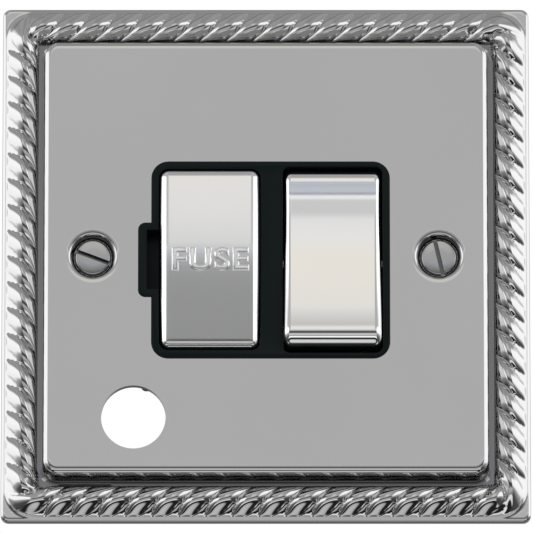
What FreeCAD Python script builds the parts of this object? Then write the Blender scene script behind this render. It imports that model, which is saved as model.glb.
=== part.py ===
"""Fused spur unit: a square cast plate with a rope border, a fused drawer and a double-pole rocker switch.

Millimetres. X runs to the right seen from the front, Z up, and +Y into the wall.
The origin lies on the wall plane, midway between the two fixing screws.
"""
import FreeCAD, Part
import math
import os

from FreeCAD import Vector

X_AXIS = Vector(1, 0, 0)
Y_AXIS = Vector(0, 1, 0)
Z_AXIS = Vector(0, 0, 1)

QUARTER = 90.0         # degrees
SLIM_SIDES = 12        # flat sides of small round pieces
HEAD_SIDES = 20        # flat sides of the fixing screws' heads and bosses

# Clearances
SEAT_GAP = 0.05        # between pieces that are screwed or pushed home
RUNNING_GAP = 0.05     # radial, pin in hole
CUTOUT_GAP = 0.1       # insert inside the plate's cut-out
DRAWER_GAP = 0.15      # carrier inside its opening, each side
ROCKER_GAP = 0.2       # rocker inside its opening, each side

# Plate
FIXING_CENTRES = 60.3
PLATE_SIDE = 92.2
PLATE_CORNER_R = 1.3
RIM_HEIGHT = 2.8
RIM_EDGE = 0.5
FIELD_HEIGHT = 8.0
PLATE_BORDER = 8.1     # from the plate's edge in to the field
FIELD_CORNER_R = 1.8
FIELD_EDGE = 0.4
BEVEL_RUN = 0.8
GROOVE_FLOOR = 2.0
GROOVE_WIDTH = 1.0
PLATE_WALL = 1.6
PLATE_FOOT = 9.5       # width of the ring that lies on the wall
PLATE_HOLLOW_R = 3.0

# Rope moulding
ROPE_INSET = 3.7       # rope's line from the plate's outer edge
ROPE_END = 2.96        # last strand short of the next side's rope line
STRANDS_PER_SIDE = 18
ROPE_R = 2.6           # half the rope's width at its foot
ROPE_CROWN = 1.25      # half its width at the crest
ROPE_CREST = 5.3       # crest above the wall
ROPE_VALLEY = 4.1      # top of the core under the strands
STRAND_R = 1.9
STRAND_SLANT = 45.0    # degrees from the rope's line
STRAND_FACETS = 5
STRAND_SPREAD = 66.0   # degrees of a strand's back to each side of its crest

# Fixing screws, M3.5 raised countersunk
SCREW_R = 1.75
SCREW_LENGTH = 25.0
SCREW_HEAD_R = 3.25
SCREW_DOME = 0.6
SCREW_CROWN_R = 1.8    # flat crown of the raised head
SCREW_NECK_R = 1.4     # plain neck below the head
SCREW_SLOT = 0.9
SCREW_SLOT_DEPTH = 1.0
SCREW_HOLE_R = 1.95
SINK_MOUTH_R = 4.0
SINK_DEPTH = 1.5       # from the field down to the head's rim
SLOT_ANGLES = {"left": -20.7, "right": -77.0}
BOSS_R = 4.6
BOSS_FOOT = 1.0        # the boss stops this short of the wall plane

# Flex outlet
FLEX_R = 5.62
FLEX_X = -23.0
FLEX_Z = -28.8

# Black insert
INSERT_X = 0.84
INSERT_Z = -0.7
INSERT_BRIDGE = 4.2    # black between the carrier and the rocker
INSERT_RIM = 1.6       # black above and below the carrier
INSERT_CORNER_R = 3.0
INSERT_PROUD = 0.4
INSERT_MARGIN = 1.5    # black edge left of the carrier and right of the rocker
NOTCH_REACH = 2.3
NOTCH_HEIGHT = 13.4
NOTCH_CORNER_R = 1.3
NOTCH_POCKET_REACH = 2.1
NOTCH_POCKET_HEIGHT = 10.6
NOTCH_POCKET_DEPTH = 4.0
LIP_DEPTH = 3.0

# Module
FLANGE_SIDE_LAP = 3.6  # flange beyond the insert, left and right
FLANGE_END_LAP = 2.8   # flange beyond the insert, top and bottom
FLANGE_THICKNESS = 1.5
FLANGE_CORNER_R = 2.0
SKIRT_SIDE_LAP = 2.0   # skirt beyond the insert, left and right
SKIRT_WALL = 1.8       # skirt's end walls, beyond the wells
SKIRT_CORNER_R = 1.0
PARTING_Y = -2.6
FLOOR_Y = 10.0
FLOOR_THICKNESS = 2.0
STRIP_THICKNESS = 0.8
EAR_WIDTH = 6.0
EAR_THICKNESS = 1.5
EAR_LAP = 2.8          # ear's screw beyond the flange
EAR_X = {"top_left": -17.0, "bottom_right": 17.0}
EAR_BOSS_R = 2.4

# Small screws: cheese head, plain shank
SMALL_SCREW_R = 1.1
SMALL_HEAD_R = 2.1
SMALL_HEAD_HEIGHT = 1.3
HOUSING_SCREW_TOP = 5.3     # in from the housing's top
HOUSING_SCREW_BOTTOM = 3.8  # in from its bottom
HOUSING_SCREW_BITE = 3.0

# Fuse carrier
CARRIER_WIDTH = 17.4
FUSE_END_ROOM = 1.7    # between each end of the fuse and its leg
CARRIER_CORNER_R = 1.5
CARRIER_EDGE = 0.8
CARRIER_PROUD = 1.1
CAP_WALL = 0.8
CAP_DEPTH = 3.2
CARRIER_FRONT_DEPTH = 6.2
LEG_WIDTH = 12.0
LEG_THICKNESS = 1.7
LEG_END_GAP = 0.2
CATCH_REACH = 0.6
CATCH_LENGTH = 1.0
STOP_GAP = 0.2
WELL_SIDE_GAP = 0.9    # well beyond the carrier's height, room for the catches
CRADLE_LENGTH = 8.0
CRADLE_WALL = 1.5
CRADLE_PAST = 1.9      # cradle's walls past the middle of the fuse

# Cartridge fuse, 25.4 x 6.3
FUSE_LENGTH = 25.4
FUSE_CAP_R = 3.15
FUSE_CAP_LENGTH = 6.0
FUSE_CAP_WALL = 0.25
FUSE_Y = 1.0
JAW_WIDTH = 4.4
JAW_THICKNESS = 0.6
JAW_GAP = 0.06
JAW_FLARE = 0.7
JAW_TIP_Y = -0.9

# Rocker
ROCKER_WIDTH = 17.0
ROCKER_OVER = 0.4      # rocker's ends beyond the carrier's
ROCKER_CORNER_R = 1.5
ROCKER_NOSE_R = 1.6
ROCKER_PROUD = 0.7     # middle of the hollow face, above the insert
ROCKER_DISH_R = 105.0
PIVOT_DEPTH = 4.0      # pivot behind the insert's face
PIVOT_R = 1.0
PIVOT_BITE = 1.2       # pin's length in each side wall
TILT = 6.0             # each way from the middle
ROCKER_CAP_DEPTH = 3.4
POLE_SPACING = 8.4
TOWER_R = 2.2
TOWER_REACH = 7.4
PLUNGER_R = 1.1
PLUNGER_TIP_R = 0.4
PLUNGER_CLEAR = 0.1
PLUNGER_LENGTH = 5.6
SPRING_R = 0.95
SPRING_LENGTH = 2.0

# Contacts
ARM_PIVOT_Y = 7.0
ARM_THICKNESS = 0.8
ARM_WIDTH = 3.6
ARM_TOP = 7.5
ARM_BOTTOM = 4.5
ARM_TILT = 5.0
CONTACT_R = 1.2
CONTACT_HEIGHT = 0.7
CONTACT_Z = 6.2
CONTACT_GAP = 0.1
EAR_GAP = 0.15         # arm between the cradle's cheeks
CHEEK_THICKNESS = 0.6
CHEEK_Y = 5.6
BLADE_THICKNESS = 0.8
STRIP_WIDTH = 3.8
BRACKET_START = 4.7

# Terminals
BLOCK_WIDTH = 7.0
BLOCK_DEPTH = 7.5
BLOCK_LENGTH = 8.0
EARTH_BLOCK_WIDTH = 12.4
EARTH_BLOCK_X = 0.5
EARTH_BORE_SPACING = 6.2
WIRE_R = 2.1
WIRE_DROP = 4.7        # bore's axis from the block's rear face
CLAMP_R = 1.75
CLAMP_LENGTH = 5.6     # headless clamp screw
CLAMP_OFFSET = 5.2     # clamp screw from the block's inner end
CLAMP_BACKED_OFF = 0.1
POCKET_GAP = 0.1
POCKET_WALL = 1.1
WIRE_HOLE_GAP = 0.4
STRIP_OVERLAP = 2.0
SLOT_GAP = 0.2

# Earth strap and cord clamp
STRAP_WIDTH = 5.0
STRAP_THICKNESS = 0.8
EARTH_BOSS_INSET = 3.0 # boss's axis in from the edge of the plate's hollow
EARTH_BOSS_R = 2.5
EARTH_BOSS_END = -2.4
STRAP_LEG_OFFSET = 1.4 # strap's leg beyond the earth block's inner end
CLAMP_ASIDE = 10.4     # clamp bar's line to the right of the flex outlet
CLAMP_FLANGE_GAP = 0.25
CLAMP_SCREW_SPACING = 10.3
CLAMP_BOSS_R = 2.2
CLAMP_BOSS_END = 1.2
CLAMP_BAR_WIDTH = 5.0
CLAMP_BAR_THICKNESS = 1.8
BOSS_BITE = 3.0        # small screws' length in a boss
BOSS_FLOOR = 0.9       # metal left under a screw hole

# Sizes and places that follow from the sizes above
FIELD_SIDE = PLATE_SIDE - 2 * PLATE_BORDER
HOLLOW_SIDE = PLATE_SIDE - 2 * PLATE_FOOT
CARRIER_HEIGHT = FUSE_LENGTH + 2 * (LEG_THICKNESS + FUSE_END_ROOM)
INSERT_WIDTH = 2 * INSERT_MARGIN + CARRIER_WIDTH + INSERT_BRIDGE + ROCKER_WIDTH
INSERT_HEIGHT = CARRIER_HEIGHT + 2 * INSERT_RIM
FLANGE_WIDTH = INSERT_WIDTH + 2 * FLANGE_SIDE_LAP
FLANGE_HEIGHT = INSERT_HEIGHT + 2 * FLANGE_END_LAP
SKIRT_WIDTH = INSERT_WIDTH + 2 * SKIRT_SIDE_LAP
SKIRT_HEIGHT = CARRIER_HEIGHT + 2 * (WELL_SIDE_GAP + SKIRT_WALL)
ROCKER_END_R = CARRIER_HEIGHT / 2 + ROCKER_OVER  # end faces turn about the pivot
FIELD_Y = -FIELD_HEIGHT
FIELD_BACK_Y = FIELD_Y + PLATE_WALL
INSERT_Y = FIELD_Y - INSERT_PROUD
FLANGE_Y = FIELD_BACK_Y + SEAT_GAP
FLANGE_BACK_Y = FLANGE_Y + FLANGE_THICKNESS
REAR_Y = FLOOR_Y + FLOOR_THICKNESS
INSERT_LEFT = INSERT_X - INSERT_WIDTH / 2
INSERT_RIGHT = INSERT_X + INSERT_WIDTH / 2
CARRIER_X = INSERT_LEFT + INSERT_MARGIN + CARRIER_WIDTH / 2
ROCKER_X = INSERT_RIGHT - INSERT_MARGIN - ROCKER_WIDTH / 2
CARRIER_FRONT_Y = INSERT_Y - CARRIER_PROUD
CARRIER_BACK_Y = CARRIER_FRONT_Y + CARRIER_FRONT_DEPTH
CARRIER_TOP = CARRIER_HEIGHT / 2
WELL_TOP = CARRIER_TOP + WELL_SIDE_GAP
HOUSING_TOP = SKIRT_HEIGHT / 2
FUSE_WELL_LEFT = CARRIER_X - CARRIER_WIDTH / 2 - DRAWER_GAP
FUSE_WELL_RIGHT = CARRIER_X + CARRIER_WIDTH / 2 + DRAWER_GAP
SWITCH_WELL_LEFT = ROCKER_X - ROCKER_WIDTH / 2 - ROCKER_GAP
SWITCH_WELL_RIGHT = ROCKER_X + ROCKER_WIDTH / 2 + ROCKER_GAP
ROCKER_WELL_TOP = ROCKER_END_R + ROCKER_GAP
PARTITION_X = (FUSE_WELL_RIGHT + SWITCH_WELL_LEFT) / 2
LIP_Y = INSERT_Y + LIP_DEPTH
PIVOT_Y = INSERT_Y + PIVOT_DEPTH
STRIP_Y = FLOOR_Y - SEAT_GAP - STRIP_THICKNESS
LEG_END_Y = STRIP_Y - LEG_END_GAP
CARRIER_TRAVEL = LEG_END_Y - CATCH_LENGTH - LIP_Y - STOP_GAP
BLOCK_BACK_Y = STRIP_Y - SEAT_GAP
BLOCK_FRONT_Y = BLOCK_BACK_Y - BLOCK_DEPTH
WIRE_Y = BLOCK_BACK_Y - WIRE_DROP
BLOCK_START = HOUSING_TOP + POCKET_GAP
BLOCK_END = BLOCK_START + BLOCK_LENGTH
WING_END = BLOCK_END + POCKET_GAP + POCKET_WALL
WING_FRONT_Y = BLOCK_FRONT_Y - POCKET_GAP - POCKET_WALL
POLE_X = {"live": ROCKER_X - POLE_SPACING / 2, "neutral": ROCKER_X + POLE_SPACING / 2}
FUSE_END = FUSE_LENGTH / 2
JAW_Z = FUSE_END - FUSE_CAP_LENGTH / 2
SKIRT_EAR_Y = PARTING_Y - EAR_THICKNESS
ROPE_LINE = PLATE_SIDE / 2 - ROPE_INSET
ROPE_PITCH = 2 * (ROPE_LINE - ROPE_END) / (STRANDS_PER_SIDE - 1)
EARTH_BOSS_Z = EARTH_BOSS_INSET - HOLLOW_SIDE / 2
STRAP_LEG_Z = INSERT_Z - BLOCK_START - STRAP_LEG_OFFSET
CLAMP_BAR_X = FLEX_X + CLAMP_ASIDE
CLAMP_BAR_Z = INSERT_Z - FLANGE_HEIGHT / 2 - CLAMP_FLANGE_GAP - CLAMP_BOSS_R - CLAMP_SCREW_SPACING / 2


def box(x_range, y_range, z_range):
    """A block between the two ends given on each axis."""
    low = Vector(min(x_range), min(y_range), min(z_range))
    high = Vector(max(x_range), max(y_range), max(z_range))
    size = high - low
    return Part.makeBox(size.x, size.y, size.z, low)


def rod_y(radius, x, z, y_start, y_end):
    """A round rod along Y."""
    return Part.makeCylinder(radius, y_end - y_start, Vector(x, y_start, z), Y_AXIS)


def rod_x(radius, y, z, x_start, x_end):
    """A round rod along X."""
    return Part.makeCylinder(radius, x_end - x_start, Vector(x_start, y, z), X_AXIS)


def rod_z(radius, x, y, z_start, z_end):
    """A round rod along Z."""
    return Part.makeCylinder(radius, z_end - z_start, Vector(x, y, z_start), Z_AXIS)


def ring_points(radius, centre, run, sides):
    """A regular polygon about a line along one axis, closed."""
    across = Vector(run.y, run.z, run.x).normalize()
    upward = run.cross(across).normalize()
    points = []
    for index in range(sides):
        turn = 2 * math.pi * (index + 0.5) / sides
        points.append(centre + across * (radius * math.cos(turn)) + upward * (radius * math.sin(turn)))
    return points + points[:1]


def flat_face(points):
    """The flat face inside a closed row of points."""
    return Part.Face(Part.makePolygon(points))


def slim_rod(radius, x, z, y_start, y_end, sides=SLIM_SIDES):
    """A small round rod or hole along Y, drawn with flat sides."""
    run = Vector(0, y_end - y_start, 0)
    return flat_face(ring_points(radius, Vector(x, y_start, z), run, sides)).extrude(run)


def slim_taper(start_radius, end_radius, x, z, y_start, y_end, sides=SLIM_SIDES):
    """A small taper along Y, drawn with flat sides."""
    run = Vector(0, y_end - y_start, 0)
    start = ring_points(start_radius, Vector(x, y_start, z), run, sides)
    end = ring_points(end_radius, Vector(x, y_end, z), run, sides)
    faces = [flat_face(start), flat_face(end)]
    for index in range(sides):
        near, far = start[index:index + 2], end[index:index + 2]
        faces.append(flat_face([near[0], near[1], far[1], far[0], near[0]]))
    return Part.Solid(Part.Shell(faces))


def rounded_wire(x, z, width, height, radius, y):
    """A rectangle with round corners, centred on x and z, in the plane at y."""
    left, right = x - width / 2, x + width / 2
    low, high = z - height / 2, z + height / 2
    corners = [
        (right - radius, high - radius, 0),
        (left + radius, high - radius, QUARTER),
        (left + radius, low + radius, 2 * QUARTER),
        (right - radius, low + radius, 3 * QUARTER),
    ]
    arcs = []
    for centre_x, centre_z, start in corners:
        points = []
        for angle in (start, start + QUARTER / 2, start + QUARTER):
            turn = math.radians(angle)
            points.append(Vector(centre_x + radius * math.cos(turn), y, centre_z + radius * math.sin(turn)))
        arcs.append(Part.Arc(*points).toShape())
    edges = []
    for here, after in zip(arcs, arcs[1:] + arcs[:1]):
        edges.append(here)
        start, end = here.Vertexes[-1].Point, after.Vertexes[0].Point
        if start.distanceToPoint(end) > 1e-6:
            edges.append(Part.makeLine(start, end))
    return Part.Wire(edges)


def rounded_block(x, z, width, height, radius, y_start, y_end):
    """A prism along Y with a round-cornered outline."""
    face = Part.Face(rounded_wire(x, z, width, height, radius, y_start))
    return face.extrude(Vector(0, y_end - y_start, 0))


def edges_at(shape, y):
    """The edges of a shape that lie wholly in the plane at y."""
    found = []
    for edge in shape.Edges:
        bounds = edge.BoundBox
        if abs(bounds.YMin - y) < 1e-4 and abs(bounds.YMax - y) < 1e-4:
            found.append(edge)
    return found


def turned(shape, degrees, centre, axis):
    """A copy of a shape turned about an axis through a point."""
    copy = shape.copy()
    copy.rotate(centre, axis, degrees)
    return copy


def headed_screw(x, z, head_y, tip_y, radius, head_radius, head_height):
    """A cheese-head screw along Y, whose head's seat is at head_y and whose tip lies towards tip_y."""
    away = 1 if head_y > tip_y else -1
    head_end = head_y + away * head_height
    shank = slim_rod(radius, x, z, min(tip_y, head_y), max(tip_y, head_y))
    head = slim_rod(head_radius, x, z, min(head_y, head_end), max(head_y, head_end))
    return shank.fuse(head).removeSplitter()


def insert_outline(shrink, y_start, y_end):
    """The black insert's outline with its notch tab, drawn in by shrink."""
    body = rounded_block(
        INSERT_X, INSERT_Z,
        INSERT_WIDTH - 2 * shrink, INSERT_HEIGHT - 2 * shrink,
        INSERT_CORNER_R - shrink, y_start, y_end,
    )
    tab_left = INSERT_LEFT - NOTCH_REACH + shrink
    tab_right = INSERT_LEFT + INSERT_MARGIN
    tab = rounded_block(
        (tab_left + tab_right) / 2, INSERT_Z,
        tab_right - tab_left, NOTCH_HEIGHT - 2 * shrink,
        NOTCH_CORNER_R - shrink / 2, y_start, y_end,
    )
    return body.fuse(tab).removeSplitter()


def rope_strand():
    """One strand's back: a bar with a rounded back that slants across the border at the rope's crest."""
    slant = math.radians(STRAND_SLANT)
    along = Vector(math.cos(slant), 0, math.sin(slant))
    across = Vector(math.sin(slant), 0, -math.cos(slant))
    start = along * (-2 * ROPE_R)
    axis_height = ROPE_CREST - STRAND_R
    points = []
    for index in range(STRAND_FACETS + 1):
        turn = math.radians(STRAND_SPREAD * (2 * index / STRAND_FACETS - 1))
        height = axis_height + STRAND_R * math.cos(turn)
        points.append(start + across * (STRAND_R * math.sin(turn)) + Vector(0, -height, 0))
    for point in (points[-1], points[0]):
        points.append(Vector(point.x, -GROOVE_FLOOR, point.z))
    return flat_face(points + points[:1]).extrude(along * (4 * ROPE_R))


def rope_outline():
    """The rope's outline on the lower side: upright to the rim, flanks that lean in, ends mitred."""
    lean = (ROPE_R - ROPE_CROWN) / (ROPE_CREST - RIM_HEIGHT)
    section = [
        (ROPE_R, GROOVE_FLOOR), (ROPE_R, RIM_HEIGHT), (ROPE_CROWN - lean, ROPE_CREST + 1),
        (lean - ROPE_CROWN, ROPE_CREST + 1), (-ROPE_R, RIM_HEIGHT), (-ROPE_R, GROOVE_FLOOR),
    ]
    reach = ROPE_LINE + 2 * ROPE_R
    points = [Vector(-reach, -height, -ROPE_LINE - out) for out, height in section]
    length = flat_face(points + points[:1]).extrude(Vector(2 * reach, 0, 0))
    corners = [Vector(0, 0, 0), Vector(-reach, 0, -reach), Vector(reach, 0, -reach)]
    sector = flat_face(corners + corners[:1]).extrude(Vector(0, -2 * ROPE_CREST, 0))
    return length.common(sector)


def rope_side():
    """The rope along the plate's lower edge: strands side by side on a core, within the rope's outline."""
    first = -(STRANDS_PER_SIDE - 1) / 2 * ROPE_PITCH
    strand = rope_strand()
    reach = ROPE_LINE + 2 * ROPE_R
    core = box((-reach, reach), (-ROPE_VALLEY, -GROOVE_FLOOR), (-ROPE_LINE - ROPE_R, -ROPE_LINE + ROPE_R))
    bars = []
    for index in range(STRANDS_PER_SIDE):
        bar = strand.copy()
        bar.translate(Vector(first + index * ROPE_PITCH, 0, -ROPE_LINE))
        bars.append(bar)
    return core.multiFuse(bars).common(rope_outline())


def plate_blank():
    """The plate's steps: rim, groove, rising bevel and field, before its openings."""
    rim = rounded_block(0, 0, PLATE_SIDE, PLATE_SIDE, PLATE_CORNER_R, 0, -RIM_HEIGHT)
    rim = rim.makeChamfer(RIM_EDGE, edges_at(rim, -RIM_HEIGHT))
    foot_side = FIELD_SIDE + 2 * BEVEL_RUN
    groove_side = foot_side + 2 * GROOVE_WIDTH
    foot_r = FIELD_CORNER_R + BEVEL_RUN
    groove = rounded_block(0, 0, groove_side, groove_side, foot_r + GROOVE_WIDTH, -GROOVE_FLOOR, -FIELD_HEIGHT)
    wall_foot = rounded_wire(0, 0, foot_side, foot_side, foot_r, -GROOVE_FLOOR)
    field_edge = rounded_wire(0, 0, FIELD_SIDE, FIELD_SIDE, FIELD_CORNER_R, FIELD_Y)
    rise = Part.makeLoft([wall_foot, field_edge], True, True)
    rise = rise.makeChamfer(FIELD_EDGE, edges_at(rise, FIELD_Y))
    return rim, groove, rise


def screw_sink(x):
    """The dimple, seat and hole for one fixing screw."""
    seat_y = FIELD_Y + SINK_DEPTH
    seat_end = seat_y + SCREW_HEAD_R - SCREW_HOLE_R + SEAT_GAP
    points = [
        Vector(0, FIELD_Y - 1, 0),
        Vector(SINK_MOUTH_R, FIELD_Y - 1, 0),
        Vector(SINK_MOUTH_R, FIELD_Y, 0),
        Vector(SCREW_HEAD_R + SEAT_GAP, seat_y, 0),
        Vector(0, seat_y, 0),
    ]
    dimple = flat_face(points + points[:1]).revolve(Vector(0, 0, 0), Y_AXIS, 4 * QUARTER)
    dimple.translate(Vector(x, 0, 0))
    seat = slim_taper(SCREW_HEAD_R + SEAT_GAP, SCREW_HOLE_R, x, 0, seat_y, seat_end, HEAD_SIDES)
    return dimple.fuse([seat, slim_rod(SCREW_HOLE_R, x, 0, seat_y, 1, HEAD_SIDES)])


def front_plate():
    """The cast plate in one piece with its rope border and the bosses on its back."""
    rim, groove, rise = plate_blank()
    side = rope_side()
    rope = [turned(side, QUARTER * quarter, Vector(0, 0, 0), Y_AXIS) for quarter in range(4)]
    border = rim.multiFuse(rope).cut(groove)
    plate = border.fuse(rise)
    hollow = rounded_block(0, 0, HOLLOW_SIDE, HOLLOW_SIDE, PLATE_HOLLOW_R, 1, FIELD_BACK_Y)
    plate = plate.cut(hollow)
    bosses = []
    for x in (-FIXING_CENTRES / 2, FIXING_CENTRES / 2):
        bosses.append(slim_rod(BOSS_R, x, 0, FIELD_BACK_Y - BOSS_FLOOR, -BOSS_FOOT, HEAD_SIDES))
    pilots = []
    for x, z in ear_places().values():
        bosses.append(slim_rod(EAR_BOSS_R, x, z, FIELD_BACK_Y - BOSS_FLOOR, SKIRT_EAR_Y - SEAT_GAP))
        pilots.append((x, z, PARTING_Y))
    bosses.append(slim_rod(EARTH_BOSS_R, EARTH_BLOCK_X, EARTH_BOSS_Z, FIELD_BACK_Y - BOSS_FLOOR, EARTH_BOSS_END))
    pilots.append((EARTH_BLOCK_X, EARTH_BOSS_Z, EARTH_BOSS_END + STRAP_THICKNESS))
    for z in clamp_screw_places():
        bosses.append(slim_rod(CLAMP_BOSS_R, CLAMP_BAR_X, z, FIELD_BACK_Y - BOSS_FLOOR, CLAMP_BOSS_END))
        pilots.append((CLAMP_BAR_X, z, CLAMP_BOSS_END + CLAMP_BAR_THICKNESS))
    plate = plate.multiFuse(bosses)
    cuts = [insert_outline(0, FIELD_Y - 1, FIELD_BACK_Y + 1)]
    cuts.append(rod_y(FLEX_R, FLEX_X, FLEX_Z, FIELD_Y - 1, 1))
    for x in (-FIXING_CENTRES / 2, FIXING_CENTRES / 2):
        cuts.append(screw_sink(x))
    for x, z, seat in pilots:
        cuts.append(slim_rod(SMALL_SCREW_R + RUNNING_GAP, x, z, FIELD_BACK_Y - BOSS_FLOOR / 2, seat))
    for cut in cuts:
        plate = plate.cut(cut)
    return plate.removeSplitter()


def fixing_screw(side):
    """One slotted raised countersunk screw, seated in its sink."""
    x = FIXING_CENTRES / 2 * (1 if side == "right" else -1)
    rim_y = FIELD_Y + SINK_DEPTH
    neck_end = SEAT_GAP - BOSS_FOOT
    tip_y = rim_y + SCREW_LENGTH
    crown_y = rim_y - SCREW_DOME
    cone_end = rim_y + SCREW_HEAD_R - SCREW_NECK_R
    crown = slim_taper(SCREW_CROWN_R, SCREW_HEAD_R, 0, 0, crown_y, rim_y, HEAD_SIDES)
    cone = slim_taper(SCREW_HEAD_R, SCREW_NECK_R, 0, 0, rim_y, cone_end, HEAD_SIDES)
    neck = slim_rod(SCREW_NECK_R, 0, 0, cone_end, neck_end, HEAD_SIDES)
    screw = crown.fuse([cone, neck, rod_y(SCREW_R, 0, 0, neck_end, tip_y)]).removeSplitter()
    slot = box(
        (-SCREW_HEAD_R - 1, SCREW_HEAD_R + 1),
        (crown_y - 1, crown_y + SCREW_SLOT_DEPTH),
        (-SCREW_SLOT / 2, SCREW_SLOT / 2),
    )
    screw = screw.cut(turned(slot, -SLOT_ANGLES[side], Vector(0, 0, 0), Y_AXIS))
    screw.translate(Vector(x, 0, 0))
    return screw


def ear_places():
    """Centres of the ears by which the module is screwed to the plate."""
    places = {}
    for name, offset in EAR_X.items():
        side = 1 if name.startswith("top") else -1
        places[name] = (INSERT_X + offset, INSERT_Z + side * (FLANGE_HEIGHT / 2 + EAR_LAP))
    return places


def clamp_screw_places():
    """Heights of the two screws of the cord clamp."""
    half = CLAMP_SCREW_SPACING / 2
    return (CLAMP_BAR_Z - half, CLAMP_BAR_Z + half)


def housing_screw_places():
    """Heights of the two screws that join the housing's halves."""
    return {
        "top": INSERT_Z + HOUSING_TOP - HOUSING_SCREW_TOP,
        "bottom": INSERT_Z - HOUSING_TOP + HOUSING_SCREW_BOTTOM,
    }


def pivot_span():
    """Both ends of the rocker's pin, in the side walls."""
    return SWITCH_WELL_LEFT - PIVOT_BITE, SWITCH_WELL_RIGHT + PIVOT_BITE


def front_moulding():
    """Black moulding: the bezel in the plate's cut-out, its flange, skirt and ears."""
    bezel = insert_outline(CUTOUT_GAP, INSERT_Y, FLANGE_Y + FLANGE_THICKNESS / 2)
    flange = rounded_block(
        INSERT_X, INSERT_Z, FLANGE_WIDTH, FLANGE_HEIGHT, FLANGE_CORNER_R, FLANGE_Y, FLANGE_BACK_Y,
    )
    skirt = rounded_block(
        INSERT_X, INSERT_Z, SKIRT_WIDTH, SKIRT_HEIGHT, SKIRT_CORNER_R, FLANGE_Y, PARTING_Y,
    )
    moulding = bezel.fuse([flange, skirt])
    for x, z in ear_places().values():
        inner = INSERT_Z + math.copysign(HOUSING_TOP - SKIRT_CORNER_R, z)
        outer = z + math.copysign(EAR_WIDTH / 2, z)
        moulding = moulding.fuse(box(
            (x - EAR_WIDTH / 2, x + EAR_WIDTH / 2), (SKIRT_EAR_Y, PARTING_Y), (inner, outer),
        ))
    drawer_opening = rounded_block(
        CARRIER_X, INSERT_Z, CARRIER_WIDTH + 2 * DRAWER_GAP, CARRIER_HEIGHT + 2 * DRAWER_GAP,
        CARRIER_CORNER_R + DRAWER_GAP, INSERT_Y - 1, PARTING_Y + 1,
    )
    catch_room = box(
        (CARRIER_X - LEG_WIDTH / 2 - DRAWER_GAP, CARRIER_X + LEG_WIDTH / 2 + DRAWER_GAP),
        (LIP_Y, PARTING_Y + 1),
        (INSERT_Z - WELL_TOP, INSERT_Z + WELL_TOP),
    )
    rocker_opening = rounded_block(
        ROCKER_X, INSERT_Z, ROCKER_WIDTH + 2 * ROCKER_GAP, 2 * ROCKER_WELL_TOP,
        ROCKER_CORNER_R - ROCKER_GAP, INSERT_Y - 1, PARTING_Y + 1,
    )
    notch_pocket = box(
        (FUSE_WELL_LEFT - NOTCH_POCKET_REACH, FUSE_WELL_LEFT + 1),
        (INSERT_Y - 1, INSERT_Y + NOTCH_POCKET_DEPTH),
        (INSERT_Z - NOTCH_POCKET_HEIGHT / 2, INSERT_Z + NOTCH_POCKET_HEIGHT / 2),
    )
    pin_left, pin_right = pivot_span()
    pin_hole = rod_x(PIVOT_R + RUNNING_GAP, PIVOT_Y, INSERT_Z, pin_left - SEAT_GAP, pin_right + SEAT_GAP)
    moulding = moulding.cut([drawer_opening, catch_room, rocker_opening, notch_pocket, pin_hole])
    for x, z in ear_places().values():
        moulding = moulding.cut(slim_rod(SMALL_SCREW_R + RUNNING_GAP, x, z, SKIRT_EAR_Y - 1, PARTING_Y + 1))
    for z in housing_screw_places().values():
        bite_end = PARTING_Y - HOUSING_SCREW_BITE - SEAT_GAP
        moulding = moulding.cut(slim_rod(SMALL_SCREW_R + RUNNING_GAP, PARTITION_X, z, bite_end, PARTING_Y + 1))
    return moulding.removeSplitter()


def terminal_places():
    """Each single terminal: its centre line's x and whether it lies above or below the module."""
    return {
        "live_load": (CARRIER_X, 1),
        "live_supply": (POLE_X["live"], 1),
        "neutral_supply": (POLE_X["neutral"], 1),
        "neutral_load": (POLE_X["neutral"], -1),
    }


def wing(x_low, x_high, side):
    """A solid shroud for the terminals above or below the housing."""
    return box(
        (x_low, x_high),
        (WING_FRONT_Y, REAR_Y),
        (INSERT_Z + side * (HOUSING_TOP - POCKET_WALL), INSERT_Z + side * WING_END),
    )


def pocket(x, width, side):
    """The space of one terminal block, open to the rear."""
    return box(
        (x - width / 2 - POCKET_GAP, x + width / 2 + POCKET_GAP),
        (BLOCK_FRONT_Y - POCKET_GAP, REAR_Y + 1),
        (INSERT_Z + side * HOUSING_TOP, INSERT_Z + side * (BLOCK_END + POCKET_GAP)),
    )


def wire_entry(x, side):
    """The square hole in a shroud's outer wall, in line with a terminal's bore."""
    half = WIRE_R + WIRE_HOLE_GAP
    return box(
        (x - half, x + half),
        (WIRE_Y - half, WIRE_Y + half),
        (INSERT_Z + side * BLOCK_END, INSERT_Z + side * (WING_END + 1)),
    )


def strip_slot(x_range, z_range):
    """Clearance for a flat strip that lies on the housing's floor."""
    return box(
        (min(x_range) - SLOT_GAP, max(x_range) + SLOT_GAP),
        (STRIP_Y - SLOT_GAP, FLOOR_Y),
        (min(z_range) - SLOT_GAP, max(z_range) + SLOT_GAP),
    )


def earth_bore_places():
    """The two wire bores of the twin earth terminal."""
    half = EARTH_BORE_SPACING / 2
    return (EARTH_BLOCK_X - half, EARTH_BLOCK_X + half)


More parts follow.
